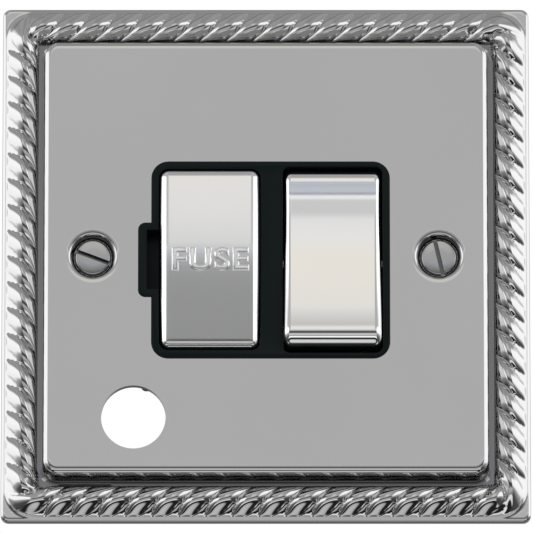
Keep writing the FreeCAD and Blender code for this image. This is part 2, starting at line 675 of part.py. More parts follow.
def rear_housing():
    """Rear moulding: two wells, a partition, and shrouds for the terminals."""
    front = PARTING_Y + SEAT_GAP
    housing = rounded_block(
        INSERT_X, INSERT_Z, SKIRT_WIDTH, SKIRT_HEIGHT, SKIRT_CORNER_R, front, REAR_Y,
    )
    side_room = BLOCK_WIDTH / 2 + POCKET_GAP + POCKET_WALL
    earth_room = EARTH_BLOCK_WIDTH / 2 + POCKET_GAP + POCKET_WALL
    right = POLE_X["neutral"] + side_room
    housing = housing.fuse([
        wing(CARRIER_X - side_room, right, 1),
        wing(EARTH_BLOCK_X - earth_room, right, -1),
    ])
    cuts = [
        box((FUSE_WELL_LEFT, FUSE_WELL_RIGHT), (front - 1, FLOOR_Y), (INSERT_Z - WELL_TOP, INSERT_Z + WELL_TOP)),
        box(
            (SWITCH_WELL_LEFT, SWITCH_WELL_RIGHT), (front - 1, FLOOR_Y),
            (INSERT_Z - ROCKER_WELL_TOP, INSERT_Z + ROCKER_WELL_TOP),
        ),
        pocket(EARTH_BLOCK_X, EARTH_BLOCK_WIDTH, -1),
    ]
    for x, side in terminal_places().values():
        cuts.append(pocket(x, BLOCK_WIDTH, side))
        cuts.append(wire_entry(x, side))
        cuts.append(strip_slot(
            (x - STRIP_WIDTH / 2, x + STRIP_WIDTH / 2),
            (INSERT_Z + side * (WELL_TOP - 1), INSERT_Z + side * (BLOCK_START + STRIP_OVERLAP)),
        ))
    for x in earth_bore_places():
        cuts.append(wire_entry(x, -1))
    cuts.append(strip_slot(
        (FUSE_WELL_RIGHT - 1, SWITCH_WELL_LEFT + 1),
        (INSERT_Z - JAW_Z - STRIP_WIDTH / 2, INSERT_Z - JAW_Z + STRIP_WIDTH / 2),
    ))
    for z in housing_screw_places().values():
        cuts.append(slim_rod(SMALL_SCREW_R + RUNNING_GAP, PARTITION_X, z, front - 1, REAR_Y + 1))
    cuts.append(box(
        (EARTH_BLOCK_X - STRAP_WIDTH / 2 - SLOT_GAP, EARTH_BLOCK_X + STRAP_WIDTH / 2 + SLOT_GAP),
        (WING_FRONT_Y - 1, BLOCK_FRONT_Y),
        (STRAP_LEG_Z - SLOT_GAP, STRAP_LEG_Z + STRAP_THICKNESS + SLOT_GAP),
    ))
    for cut in cuts:
        housing = housing.cut(cut)
    return housing.removeSplitter()


def drawer_cap():
    """Bright cap that covers the fuse carrier's front."""
    outer = rounded_block(
        CARRIER_X, INSERT_Z, CARRIER_WIDTH, CARRIER_HEIGHT, CARRIER_CORNER_R,
        CARRIER_FRONT_Y, CARRIER_FRONT_Y + CAP_DEPTH,
    )
    outer = outer.makeChamfer(CARRIER_EDGE, edges_at(outer, CARRIER_FRONT_Y))
    inner = rounded_block(
        CARRIER_X, INSERT_Z, CARRIER_WIDTH - 2 * CAP_WALL, CARRIER_HEIGHT - 2 * CAP_WALL,
        CARRIER_CORNER_R - CAP_WALL, CARRIER_FRONT_Y + CAP_WALL, CARRIER_FRONT_Y + CAP_DEPTH + 1,
    )
    return outer.cut(inner)


def fuse_carrier():
    """Moulded drawer: front block, two legs with catches, and the cradle that grips the fuse."""
    plug_wall = CAP_WALL + SEAT_GAP
    plug = rounded_block(
        CARRIER_X, INSERT_Z, CARRIER_WIDTH - 2 * plug_wall, CARRIER_HEIGHT - 2 * plug_wall,
        CARRIER_CORNER_R - plug_wall, CARRIER_FRONT_Y + plug_wall, CARRIER_BACK_Y,
    )
    block = rounded_block(
        CARRIER_X, INSERT_Z, CARRIER_WIDTH, CARRIER_HEIGHT, CARRIER_CORNER_R,
        CARRIER_FRONT_Y + CAP_DEPTH + SEAT_GAP, CARRIER_BACK_Y,
    )
    parts = [block]
    for side in (1, -1):
        outer = INSERT_Z + side * CARRIER_TOP
        parts.append(box(
            (CARRIER_X - LEG_WIDTH / 2, CARRIER_X + LEG_WIDTH / 2),
            (CARRIER_BACK_Y - 1, LEG_END_Y),
            (outer - side * LEG_THICKNESS, outer),
        ))
        parts.append(box(
            (CARRIER_X - LEG_WIDTH / 2, CARRIER_X + LEG_WIDTH / 2),
            (LEG_END_Y - CATCH_LENGTH, LEG_END_Y),
            (outer - side * LEG_THICKNESS, outer + side * CATCH_REACH),
        ))
    grip = FUSE_CAP_R + CRADLE_WALL
    parts.append(box(
        (CARRIER_X - grip, CARRIER_X + grip),
        (CARRIER_BACK_Y - 1, FUSE_Y + CRADLE_PAST),
        (INSERT_Z - CRADLE_LENGTH / 2, INSERT_Z + CRADLE_LENGTH / 2),
    ))
    carrier = plug.fuse(parts)
    fuse_room = rod_z(
        FUSE_CAP_R - FUSE_CAP_WALL + JAW_GAP, CARRIER_X, FUSE_Y,
        INSERT_Z - CRADLE_LENGTH, INSERT_Z + CRADLE_LENGTH,
    )
    return carrier.cut(fuse_room).removeSplitter()


def fuse_body():
    """Ceramic tube of the cartridge fuse, sand-filled and sealed."""
    half = FUSE_END - FUSE_CAP_WALL - SEAT_GAP
    return rod_z(FUSE_CAP_R - FUSE_CAP_WALL - SEAT_GAP / 2, CARRIER_X, FUSE_Y, INSERT_Z - half, INSERT_Z + half)


def fuse_end_cap(side):
    """Pressed cap on one end of the fuse; its hollow has flat sides that lie on the tube."""
    end = INSERT_Z + side * FUSE_END
    mouth = end - side * FUSE_CAP_LENGTH
    outer = rod_z(FUSE_CAP_R, CARRIER_X, FUSE_Y, min(end, mouth), max(end, mouth))
    hollow_r = (FUSE_CAP_R - FUSE_CAP_WALL) / math.cos(math.pi / SLIM_SIDES)
    floor = Vector(CARRIER_X, FUSE_Y, end - side * FUSE_CAP_WALL)
    run = Vector(0, 0, -side * FUSE_CAP_LENGTH)
    return outer.cut(flat_face(ring_points(hollow_r, floor, run, SLIM_SIDES)).extrude(run))


def fuse_jaw(side, base_y):
    """Spring clip that grips one end cap, open towards the front."""
    inner = FUSE_CAP_R + JAW_GAP
    outer = inner + JAW_THICKNESS
    right = [
        (outer, base_y), (outer, JAW_TIP_Y + JAW_FLARE), (outer + JAW_FLARE, JAW_TIP_Y),
        (inner + JAW_FLARE, JAW_TIP_Y), (inner, JAW_TIP_Y + JAW_FLARE), (inner, base_y - JAW_THICKNESS),
    ]
    left = [(-x, y) for x, y in reversed(right)]
    z_low = INSERT_Z + side * JAW_Z - JAW_WIDTH / 2
    points = [Vector(CARRIER_X + x, y, z_low) for x, y in right + left]
    return flat_face(points + points[:1]).extrude(Vector(0, 0, JAW_WIDTH))


def flat_strip(x_range, z_range):
    """Brass strip on the housing's floor."""
    return box(x_range, (STRIP_Y, STRIP_Y + STRIP_THICKNESS), z_range)


def strip_end(side):
    """Where a strip ends under its terminal block."""
    return INSERT_Z + side * (BLOCK_START + STRIP_OVERLAP)


def fuse_jaw_upper():
    """Upper jaw in one piece with its strip to the live load terminal."""
    jaw = fuse_jaw(1, STRIP_Y + STRIP_THICKNESS)
    half = STRIP_WIDTH / 2
    tail = flat_strip((CARRIER_X - half, CARRIER_X + half), (INSERT_Z + JAW_Z, strip_end(1)))
    return jaw.fuse(tail).removeSplitter()


def fuse_jaw_lower():
    """Lower jaw, riveted on the live link."""
    return fuse_jaw(-1, STRIP_Y - SEAT_GAP)


def supply_bracket(pole):
    """Strip from a supply terminal to the fixed contact it carries."""
    x = POLE_X[pole]
    return flat_strip((x - STRIP_WIDTH / 2, x + STRIP_WIDTH / 2), (INSERT_Z + BRACKET_START, strip_end(1)))


def cradle(pole):
    """Blade and two cheeks in which a contact arm rocks."""
    x = POLE_X[pole]
    inner = ARM_WIDTH / 2 + EAR_GAP
    outer = inner + CHEEK_THICKNESS
    low, high = INSERT_Z - STRIP_WIDTH / 2, INSERT_Z + STRIP_WIDTH / 2
    base_y = STRIP_Y + STRIP_THICKNESS
    base = box((x - outer, x + outer), (STRIP_Y, base_y), (low, high))
    left = box((x - outer, x - inner), (CHEEK_Y, base_y), (low, high))
    right = box((x + inner, x + outer), (CHEEK_Y, base_y), (low, high))
    blade = box(
        (x - inner, x + inner), (ARM_PIVOT_Y + SEAT_GAP, base_y),
        (INSERT_Z - BLADE_THICKNESS / 2, INSERT_Z + BLADE_THICKNESS / 2),
    )
    return base.fuse([left, right, blade])


def neutral_load_strip():
    """Neutral cradle with its strip to the neutral load terminal."""
    x = POLE_X["neutral"]
    strip = flat_strip((x - STRIP_WIDTH / 2, x + STRIP_WIDTH / 2), (strip_end(-1), INSERT_Z))
    return cradle("neutral").fuse(strip).removeSplitter()


def live_link():
    """Live cradle with its strip to the lower fuse jaw."""
    x = POLE_X["live"]
    half = STRIP_WIDTH / 2
    turn_z = INSERT_Z - JAW_Z
    down = flat_strip((x - half, x + half), (turn_z - half, INSERT_Z))
    across = flat_strip((CARRIER_X - half, x + half), (turn_z - half, turn_z + half))
    return cradle("live").fuse([down, across]).removeSplitter()


def tilted_arm_piece(shape, pole):
    """Lay a piece drawn on a level arm at the arm's rest tilt."""
    return turned(shape, ARM_TILT, Vector(POLE_X[pole], ARM_PIVOT_Y, INSERT_Z), X_AXIS)


def contact_arm(pole):
    """Flat arm that rocks on the cradle's blade."""
    x = POLE_X[pole]
    arm = box(
        (x - ARM_WIDTH / 2, x + ARM_WIDTH / 2),
        (ARM_PIVOT_Y - ARM_THICKNESS, ARM_PIVOT_Y),
        (INSERT_Z - ARM_BOTTOM, INSERT_Z + ARM_TOP),
    )
    return tilted_arm_piece(arm, pole)


def moving_contact(pole):
    """Silver button on the arm's upper end."""
    x = POLE_X[pole]
    button = slim_rod(CONTACT_R, x, INSERT_Z + CONTACT_Z, ARM_PIVOT_Y, ARM_PIVOT_Y + CONTACT_HEIGHT)
    return tilted_arm_piece(button, pole)


def fixed_contact(pole):
    """Silver button on the supply bracket, just clear of the closed moving contact."""
    tilt = math.radians(ARM_TILT)
    closed_y = ARM_PIVOT_Y + CONTACT_HEIGHT * math.cos(tilt) + (CONTACT_Z + CONTACT_R) * math.sin(tilt)
    return slim_rod(CONTACT_R, POLE_X[pole], INSERT_Z + CONTACT_Z, closed_y + CONTACT_GAP, STRIP_Y)


def at_rest_tilt(shape):
    """Turn a rocker piece drawn level to its rest, with its top pressed in."""
    return turned(shape, -TILT, Vector(ROCKER_X, PIVOT_Y, INSERT_Z), X_AXIS)


def rocker_profile(inset):
    """Half of the rocker's side view: face, nose and end as arcs that run into each other.

    The nose's centre lies at its own distance from the pivot and from the hollow face's centre.
    """
    end_r = ROCKER_END_R - inset
    nose_r = ROCKER_NOSE_R - inset
    face_y = INSERT_Y - ROCKER_PROUD + inset
    dish_y = face_y - ROCKER_DISH_R
    from_pivot = end_r - nose_r
    from_dish = ROCKER_DISH_R + nose_r
    span = PIVOT_Y - dish_y
    nose_y = dish_y + (from_dish ** 2 - from_pivot ** 2 + span ** 2) / (2 * span)
    nose_z = math.sqrt(from_pivot ** 2 - (nose_y - PIVOT_Y) ** 2)
    nose = Vector(0, nose_y, nose_z)
    pivot = Vector(0, PIVOT_Y, 0)
    dish_centre = Vector(0, dish_y, 0)
    out_from_pivot = (nose - pivot).normalize()
    out_from_dish = (nose - dish_centre).normalize()
    face_end = dish_centre + out_from_dish * ROCKER_DISH_R
    nose_end = pivot + out_from_pivot * end_r
    nose_mid = nose + (out_from_pivot - out_from_dish).normalize() * nose_r
    back = math.asin(PIVOT_R / end_r)
    back_end = pivot + Vector(0, math.sin(back), math.cos(back)) * end_r
    half_turn = (math.atan2(out_from_pivot.y, out_from_pivot.z) + back) / 2
    end_mid = pivot + Vector(0, math.sin(half_turn), math.cos(half_turn)) * end_r
    return face_y, face_end, nose_mid, nose_end, end_mid, back_end


def rocker_form(inset):
    """The rocker's solid form, level: hollow face, round noses, and ends that turn about the pivot."""
    face_y, face_end, nose_mid, nose_end, end_mid, back_end = rocker_profile(inset)

    def lower(point):
        return Vector(point.x, point.y, -point.z)

    face = Part.Arc(lower(face_end), Vector(0, face_y, 0), face_end)
    edges = [face.toShape()]
    edges.append(Part.Arc(face_end, nose_mid, nose_end).toShape())
    edges.append(Part.Arc(nose_end, end_mid, back_end).toShape())
    edges.append(Part.makeLine(back_end, lower(back_end)))
    edges.append(Part.Arc(lower(back_end), lower(end_mid), lower(nose_end)).toShape())
    edges.append(Part.Arc(lower(nose_end), lower(nose_mid), lower(face_end)).toShape())
    form = Part.Face(Part.Wire(edges)).extrude(Vector(ROCKER_WIDTH, 0, 0))
    form.translate(Vector(ROCKER_X - ROCKER_WIDTH / 2, 0, INSERT_Z))
    plan = rounded_block(
        ROCKER_X, INSERT_Z, ROCKER_WIDTH - 2 * inset, 2 * (ROCKER_END_R - inset),
        ROCKER_CORNER_R - inset, face_y - ROCKER_END_R, PIVOT_Y + ROCKER_END_R,
    )
    return form.common(plan)


def rocker_cap():
    """Bright cap over the rocker."""
    reach = 2 * ROCKER_END_R
    cap_end = INSERT_Y - ROCKER_PROUD + ROCKER_CAP_DEPTH
    front_part = box((-reach, reach + ROCKER_X), (-reach, cap_end), (-reach, reach))
    skin = rocker_form(0).cut(rocker_form(CAP_WALL)).common(front_part)
    return at_rest_tilt(skin)


def plunger_centre_y():
    """Where the plunger's taper starts with the rocker level."""
    return ARM_PIVOT_Y - ARM_THICKNESS - PLUNGER_CLEAR - PLUNGER_R


def rocker_body():
    """Moulded core of the rocker with a tower for each plunger."""
    core = rocker_form(CAP_WALL + SEAT_GAP)
    bore_r = PLUNGER_R + RUNNING_GAP
    spring_seat = plunger_centre_y() - PLUNGER_LENGTH - SPRING_LENGTH
    towers = []
    bores = []
    for x in POLE_X.values():
        towers.append(slim_rod(TOWER_R, x, INSERT_Z, PIVOT_Y, PIVOT_Y + TOWER_REACH))
        bores.append(slim_rod(bore_r, x, INSERT_Z, spring_seat, PIVOT_Y + TOWER_REACH + 1))
    body = core.fuse(towers)
    half = ROCKER_WIDTH / 2
    bores.append(rod_x(PIVOT_R + RUNNING_GAP, PIVOT_Y, INSERT_Z, ROCKER_X - half, ROCKER_X + half))
    for bore in bores:
        body = body.cut(bore)
    return at_rest_tilt(body.removeSplitter())


def plunger(pole):
    """Sprung pin with a tapered tip that presses on a contact arm."""
    x = POLE_X[pole]
    tip_y = plunger_centre_y()
    shank = slim_rod(PLUNGER_R, x, INSERT_Z, tip_y - PLUNGER_LENGTH, tip_y)
    tip = slim_taper(PLUNGER_R, PLUNGER_TIP_R, x, INSERT_Z, tip_y, tip_y + PLUNGER_R)
    return at_rest_tilt(shank.fuse(tip).removeSplitter())


def plunger_spring(pole):
    """Small compression spring behind a plunger, in its coil's outline."""
    end_y = plunger_centre_y() - PLUNGER_LENGTH - SEAT_GAP
    start_y = end_y - SPRING_LENGTH + 2 * SEAT_GAP
    return at_rest_tilt(slim_rod(SPRING_R, POLE_X[pole], INSERT_Z, start_y, end_y))


def rocker_pivot():
    """Steel pin on which the rocker turns."""
    left, right = pivot_span()
    return rod_x(PIVOT_R, PIVOT_Y, INSERT_Z, left, right)


def terminal_block(x, width, side, bores):
    """Brass block with its wire bores along Z and a clamp screw's hole for each."""
    start = INSERT_Z + side * BLOCK_START
    end = INSERT_Z + side * BLOCK_END
    block = box((x - width / 2, x + width / 2), (BLOCK_FRONT_Y, BLOCK_BACK_Y), (start, end))
    for bore_x in bores:
        block = block.cut(rod_z(WIRE_R, bore_x, WIRE_Y, min(start, end) - 1, max(start, end) + 1))
        block = block.cut(slim_rod(
            CLAMP_R + RUNNING_GAP, bore_x, start + side * CLAMP_OFFSET, WIRE_Y, BLOCK_BACK_Y + 1,
        ))
    return block


def single_terminal(name):
    """One of the four single terminals."""
    x, side = terminal_places()[name]
    return terminal_block(x, BLOCK_WIDTH, side, [x])


def earth_terminal():
    """Twin earth terminal below the module."""
    return terminal_block(EARTH_BLOCK_X, EARTH_BLOCK_WIDTH, -1, earth_bore_places())


def clamp_screw(x, side):
    """Headless terminal screw, backed off so that its bore is free."""
    tip_y = WIRE_Y + WIRE_R + CLAMP_BACKED_OFF
    return slim_rod(CLAMP_R, x, INSERT_Z + side * (BLOCK_START + CLAMP_OFFSET), tip_y, tip_y + CLAMP_LENGTH)


def small_screw(x, z, seat_y, tip_y):
    """One of the small cheese-head screws."""
    return headed_screw(x, z, seat_y, tip_y, SMALL_SCREW_R, SMALL_HEAD_R, SMALL_HEAD_HEIGHT)


def module_screw(name):
    """Screw through an ear of the front moulding into the plate."""
    x, z = ear_places()[name]
    return small_screw(x, z, PARTING_Y + SEAT_GAP, FIELD_BACK_Y)


def housing_screw(name):
    """Screw through the rear housing's partition into the front moulding."""
    z = housing_screw_places()[name]
    return small_screw(PARTITION_X, z, REAR_Y + SEAT_GAP, PARTING_Y - HOUSING_SCREW_BITE)


def earth_strap():
    """Strap from the plate's boss to the earth terminal, with its end bent in to meet the block."""
    half = STRAP_WIDTH / 2
    near = EARTH_BOSS_END + SEAT_GAP
    flat = box(
        (EARTH_BLOCK_X - half, EARTH_BLOCK_X + half), (near, near + STRAP_THICKNESS),
        (EARTH_BOSS_Z - half, STRAP_LEG_Z + STRAP_THICKNESS),
    )
    leg = box(
        (EARTH_BLOCK_X - half, EARTH_BLOCK_X + half), (near, BLOCK_FRONT_Y - SEAT_GAP),
        (STRAP_LEG_Z, STRAP_LEG_Z + STRAP_THICKNESS),
    )
    hole_r = SMALL_SCREW_R + RUNNING_GAP
    hole = slim_rod(hole_r, EARTH_BLOCK_X, EARTH_BOSS_Z, near - 1, near + STRAP_THICKNESS + 1)
    return flat.fuse(leg).cut(hole).removeSplitter()


def earth_strap_screw():
    """Screw that holds the earth strap on the plate."""
    seat = EARTH_BOSS_END + SEAT_GAP + STRAP_THICKNESS + SEAT_GAP
    return small_screw(EARTH_BLOCK_X, EARTH_BOSS_Z, seat, EARTH_BOSS_END - BOSS_BITE)


def cord_clamp_bar():
    """Bar that presses the flex against the plate beside its outlet."""
    near = CLAMP_BOSS_END + SEAT_GAP
    low, high = clamp_screw_places()
    half = CLAMP_BAR_WIDTH / 2
    bar = rounded_block(
        CLAMP_BAR_X, CLAMP_BAR_Z, CLAMP_BAR_WIDTH, high - low + CLAMP_BAR_WIDTH, half - SEAT_GAP,
        near, near + CLAMP_BAR_THICKNESS,
    )
    for z in (low, high):
        bar = bar.cut(slim_rod(SMALL_SCREW_R + RUNNING_GAP, CLAMP_BAR_X, z, near - 1, near + CLAMP_BAR_THICKNESS + 1))
    return bar


def cord_clamp_screw(index):
    """Screw at one end of the cord clamp's bar."""
    seat = CLAMP_BOSS_END + SEAT_GAP + CLAMP_BAR_THICKNESS + SEAT_GAP
    return small_screw(CLAMP_BAR_X, clamp_screw_places()[index], seat, CLAMP_BOSS_END - BOSS_BITE)


def all_nodes():
    """Every separate piece by name."""
    nodes = {
        "front_plate": front_plate(),
        "front_moulding": front_moulding(),
        "rear_housing": rear_housing(),
        "fuse_carrier": fuse_carrier(),
        "fuse_carrier_cap": drawer_cap(),
        "fuse_body": fuse_body(),
        "fuse_end_cap_upper": fuse_end_cap(1),
        "fuse_end_cap_lower": fuse_end_cap(-1),
        "fuse_jaw_upper": fuse_jaw_upper(),
        "fuse_jaw_lower": fuse_jaw_lower(),
        "live_link": live_link(),
        "neutral_load_strip": neutral_load_strip(),
        "rocker_cap": rocker_cap(),
        "rocker_body": rocker_body(),
        "rocker_pivot": rocker_pivot(),
        "earth_terminal": earth_terminal(),
        "earth_strap": earth_strap(),
        "earth_strap_screw": earth_strap_screw(),
        "cord_clamp_bar": cord_clamp_bar(),
    }
    for side in ("left", "right"):
        nodes["fixing_screw_" + side] = fixing_screw(side)
    for name in ear_places():
        nodes["module_screw_" + name] = module_screw(name)
    for name in housing_screw_places():
        nodes["housing_screw_" + name] = housing_screw(name)
    for pole in POLE_X:
        nodes["plunger_" + pole] = plunger(pole)
        nodes["plunger_spring_" + pole] = plunger_spring(pole)
        nodes["contact_arm_" + pole] = contact_arm(pole)
        nodes["moving_contact_" + pole] = moving_contact(pole)
        nodes["fixed_contact_" + pole] = fixed_contact(pole)
        nodes["supply_bracket_" + pole] = supply_bracket(pole)
    for name, (x, side) in terminal_places().items():
        nodes[name + "_terminal"] = single_terminal(name)
        nodes[name + "_clamp_screw"] = clamp_screw(x, side)
    for index, x in enumerate(earth_bore_places(), start=1):
        nodes["earth_clamp_screw_%d" % index] = clamp_screw(x, -1)
    for index in range(2):
        nodes["cord_clamp_screw_%d" % (index + 1)] = cord_clamp_screw(index)
    return nodes


def main():
    """Build every piece and write one file for each."""
    os.makedirs("parts", exist_ok=True)
    for name, shape in all_nodes().items():
        shape.exportStep("parts/" + name + ".step")
        print(name, len(shape.Solids), "%.2f" % shape.Volume, shape.isValid())
    print("carrier travel", round(CARRIER_TRAVEL, 3), "pivot", PIVOT_Y, INSERT_Z, "arm pivot", ARM_PIVOT_Y)


main()
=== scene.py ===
"""Looks of the fused spur unit: rope-edged chrome plate, fuse drawer, rocker, screws and rear fittings."""

import logging
import math
from dataclasses import dataclass
from enum import Enum
from typing import Iterable, Sequence

import bmesh
import bpy
from mathutils import Matrix, Vector


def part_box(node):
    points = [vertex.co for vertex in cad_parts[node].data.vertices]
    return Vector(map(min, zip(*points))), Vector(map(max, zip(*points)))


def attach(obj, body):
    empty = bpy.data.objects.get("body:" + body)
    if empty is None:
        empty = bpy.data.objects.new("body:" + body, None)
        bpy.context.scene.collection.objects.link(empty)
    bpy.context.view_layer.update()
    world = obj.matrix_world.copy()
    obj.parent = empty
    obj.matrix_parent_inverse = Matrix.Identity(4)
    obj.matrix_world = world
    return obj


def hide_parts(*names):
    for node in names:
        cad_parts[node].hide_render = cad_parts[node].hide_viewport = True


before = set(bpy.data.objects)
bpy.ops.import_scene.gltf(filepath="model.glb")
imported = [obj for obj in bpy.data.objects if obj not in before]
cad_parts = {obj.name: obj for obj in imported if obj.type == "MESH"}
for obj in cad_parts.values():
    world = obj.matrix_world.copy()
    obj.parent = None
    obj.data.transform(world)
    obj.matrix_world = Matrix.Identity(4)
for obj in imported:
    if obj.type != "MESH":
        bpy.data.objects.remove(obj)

LOG = logging.getLogger("spur_unit")
MM = 0.001
SMOOTH_ANGLE = math.radians(34)
SCREW_ANGLE = math.radians(30)
MERGE_MM = 0.002
TOUCH_MM = 0.001
FIXING_SCREWS = (("left", -30.15, -20.7), ("right", 30.15, -77.0))

Mesh = bmesh.types.BMesh
Vert = bmesh.types.BMVert
Piece = bpy.types.Object
Tree = bpy.types.NodeTree
Socket = bpy.types.NodeSocket
Pair = tuple[float, float]
Pairs = tuple[Pair, ...]
Triple = tuple[float, float, float]
Stops = list[tuple[float, float | Triple]]


class Body(Enum):
    """The bodies that new pieces ride on."""

    HOUSING = "housing"
    ROCKER = "rocker"
    DRAWER = "fuse_drawer"


class Slot(Enum):
    """The record's material slots."""

    CHROME = "polished_chrome"
    INSERT = "black_plastic"
    HOUSING = "housing_plastic"
    CARRIER = "carrier_plastic"
    CERAMIC = "ceramic"
    SILVER = "silver"
    NICKEL = "nickel_plate"
    BRASS = "brass"
    STEEL = "zinc_steel"


def node_of(tree: Tree, kind: str, **values: object) -> bpy.types.Node:
    """Add a shader node and set its properties and unlinked inputs.

    Args:
        tree: node tree that gets the node.
        kind: the node's type name.
        values: property names, or input names with spaces written as underscores.

    Returns:
        The new node.
    """
    made = tree.nodes.new(kind)
    for name, value in values.items():
        label = name.replace("_", " ")
        if label in made.inputs:
            made.inputs[label].default_value = value
        else:
            setattr(made, name, value)
    return made


def ramp_of(tree: Tree, stops: Stops) -> bpy.types.Node:
    """Add a colour ramp with stops given by place and by grey level or colour, in order."""
    ramp = tree.nodes.new("ShaderNodeValToRGB")
    elements = ramp.color_ramp.elements
    while len(elements) > 1:
        elements.remove(elements[-1])
    elements[0].position = stops[0][0]
    for place, _ in stops[1:]:
        elements.new(place)
    for element, (_, shade) in zip(elements, stops):
        element.color = (*(shade if isinstance(shade, tuple) else (shade, shade, shade)), 1.0)
    return ramp


def mixed_shader(tree: Tree, share: Socket, first: Socket, second: Socket) -> Socket:
    """Return the socket of two shaders mixed, with the share of the second."""
    choice = tree.nodes.new("ShaderNodeMixShader")
    for place, socket in enumerate((share, first, second)):
        tree.links.new(socket, choice.inputs[place])
    return choice.outputs[0]


@dataclass(frozen=True)
class Finish:
    """A surface finish made of one principled shader with fine procedural detail."""

    name: str
    slot: Slot
    colour: Triple
    metallic: float = 0.0
    rough_low: float = 0.3
    rough_high: float = 0.4
    grain_scale: float = 900.0
    grain_stretch: Triple = (1.0, 1.0, 1.0)
    bump: float = 0.0
    bump_distance: float = 0.00002
    shade_spread: float = 0.06
    specular: float = 0.5
    broad_share: float = 14.0

    def material(self) -> bpy.types.Material:
        """Return the finish's material, made on first use."""
        found = bpy.data.materials.get(self.name)
        if found is not None:
            return found
        made = bpy.data.materials.new(self.name)
        made.use_nodes = True
        tree = made.node_tree
        tree.nodes.clear()
        output = tree.nodes.new("ShaderNodeOutputMaterial")
        shader = tree.nodes.new("ShaderNodeBsdfPrincipled")
        shader.inputs["Metallic"].default_value = self.metallic
        shader.inputs["Specular IOR Level"].default_value = self.specular
        link = tree.links.new
        link(shader.outputs[0], output.inputs[0])
        place = tree.nodes.new("ShaderNodeTexCoord")
        stretch = tree.nodes.new("ShaderNodeMapping")
        stretch.inputs["Scale"].default_value = self.grain_stretch
        link(place.outputs["Object"], stretch.inputs["Vector"])
        fine = node_of(tree, "ShaderNodeTexNoise", Scale=self.grain_scale, Detail=3.0, Roughness=0.6)
        broad = node_of(tree, "ShaderNodeTexNoise", Scale=self.grain_scale / self.broad_share, Detail=2.0)
        for noise in (fine, broad):
            link(stretch.outputs[0], noise.inputs["Vector"])
        rough = node_of(tree, "ShaderNodeMapRange", To_Min=self.rough_low, To_Max=self.rough_high)
        link(fine.outputs["Fac"], rough.inputs["Value"])
        link(rough.outputs[0], shader.inputs["Roughness"])
        dark = tuple(channel * (1.0 - self.shade_spread) for channel in self.colour)
        tint = ramp_of(tree, [(0.3, dark), (0.7, self.colour)])
        link(broad.outputs["Fac"], tint.inputs[0])
        link(tint.outputs[0], shader.inputs["Base Color"])
        if self.bump > 0.0:
            relief = node_of(tree, "ShaderNodeBump", Strength=self.bump, Distance=self.bump_distance)
            link(fine.outputs["Fac"], relief.inputs["Height"])
            link(relief.outputs[0], shader.inputs["Normal"])
        return made


def polished(name: str, level: float, rough_low: float, rough_high: float, spread: float = 0.015) -> Finish:
    """Return a polished chrome of the given grey level and roughness."""
    return Finish(name, Slot.CHROME, (level, level, level), 1.0, rough_low, rough_high, 500.0,
                  bump=0.02, bump_distance=0.00001, shade_spread=spread)


PLATE_CHROME = polished("plate_chrome", 0.66, 0.03, 0.055, 0.02)
CAP_CHROME = polished("cap_chrome", 0.94, 0.03, 0.06)
DRAWER_CHROME = polished("drawer_chrome", 0.94, 0.13, 0.19)
WORD_CHROME = polished("word_chrome", 0.97, 0.20, 0.26)
PLATE_BACK = Finish("cast_back", Slot.CHROME, (0.62, 0.62, 0.63), 0.55, 0.26, 0.40, 700.0, bump=0.25)
# Darker chrome that paints shade into the screw sinks and into the fixing screws' slots.
SINK_SHADE = Finish("sink_painted_shade", Slot.CHROME, (0.16, 0.16, 0.165), 1.0, 0.12, 0.2, 900.0, bump=0.1)
# Darker chrome that paints shade into the groove round the field.
GROOVE_PAINTED_SHADE = Finish("groove_painted_shade", Slot.CHROME, (0.26, 0.26, 0.265), 1.0, 0.08, 0.14, 900.0, bump=0.1)
SCREW_CHROME = Finish("screw_chrome", Slot.CHROME, (0.52, 0.52, 0.52), 1.0, 0.10, 0.18, 1500.0, bump=0.1)
INSERT_BLACK = Finish("insert_black", Slot.INSERT, (0.0045, 0.0085, 0.0095), 0.0, 0.26, 0.36, 1400.0,
                      bump=0.12, specular=0.12)
HOUSING_BLACK = Finish("housing_black", Slot.HOUSING, (0.022, 0.022, 0.024), 0.0, 0.42, 0.58, 1600.0,
                       bump=0.35, specular=0.3)
CARRIER_BLACK = Finish("carrier_black", Slot.CARRIER, (0.016, 0.016, 0.018), 0.0, 0.38, 0.5, 1600.0,
                       bump=0.25, specular=0.2)
CERAMIC_WHITE = Finish("ceramic_white", Slot.CERAMIC, (0.80, 0.78, 0.72), 0.0, 0.25, 0.4, 1200.0, bump=0.1)
SILVER_GREY = Finish("contact_silver", Slot.SILVER, (0.86, 0.86, 0.84), 1.0, 0.22, 0.34, 1800.0, bump=0.1)
NICKEL_GREY = Finish("cap_nickel", Slot.NICKEL, (0.72, 0.70, 0.66), 1.0, 0.16, 0.28, 1500.0, bump=0.1)
BRASS_BRIGHT = Finish("terminal_brass", Slot.BRASS, (0.78, 0.58, 0.27), 1.0, 0.2, 0.36, 1300.0,
                      (1.0, 4.0, 1.0), bump=0.15, shade_spread=0.12)
STEEL_ZINC = Finish("zinc_steel", Slot.STEEL, (0.62, 0.63, 0.65), 1.0, 0.24, 0.4, 1500.0, bump=0.2,
                    shade_spread=0.12)


def linked(name: str, data: bpy.types.ID) -> Piece:
    """Return a new object of the scene that holds the data."""
    made = bpy.data.objects.new(name, data)
    bpy.context.scene.collection.objects.link(made)
    return made


def aimed(name: str, data: bpy.types.ID, place: Vector, back: Vector) -> Piece:
    """Return a lamp or camera at a place, with its back towards a direction."""
    made = linked(name, data)
    made.location = place
    made.rotation_mode = "QUATERNION"
    made.rotation_quaternion = back.to_track_quat("Z", "Y")
    return made


def object_of(bm: Mesh, name: str) -> Piece:
    """Return an object in metres made of a bmesh in millimetres, which is freed."""
    bmesh.ops.scale(bm, vec=(MM, MM, MM), verts=bm.verts)
    mesh = bpy.data.meshes.new(name)
    bm.to_mesh(mesh)
    bm.free()
    return linked(name, mesh)


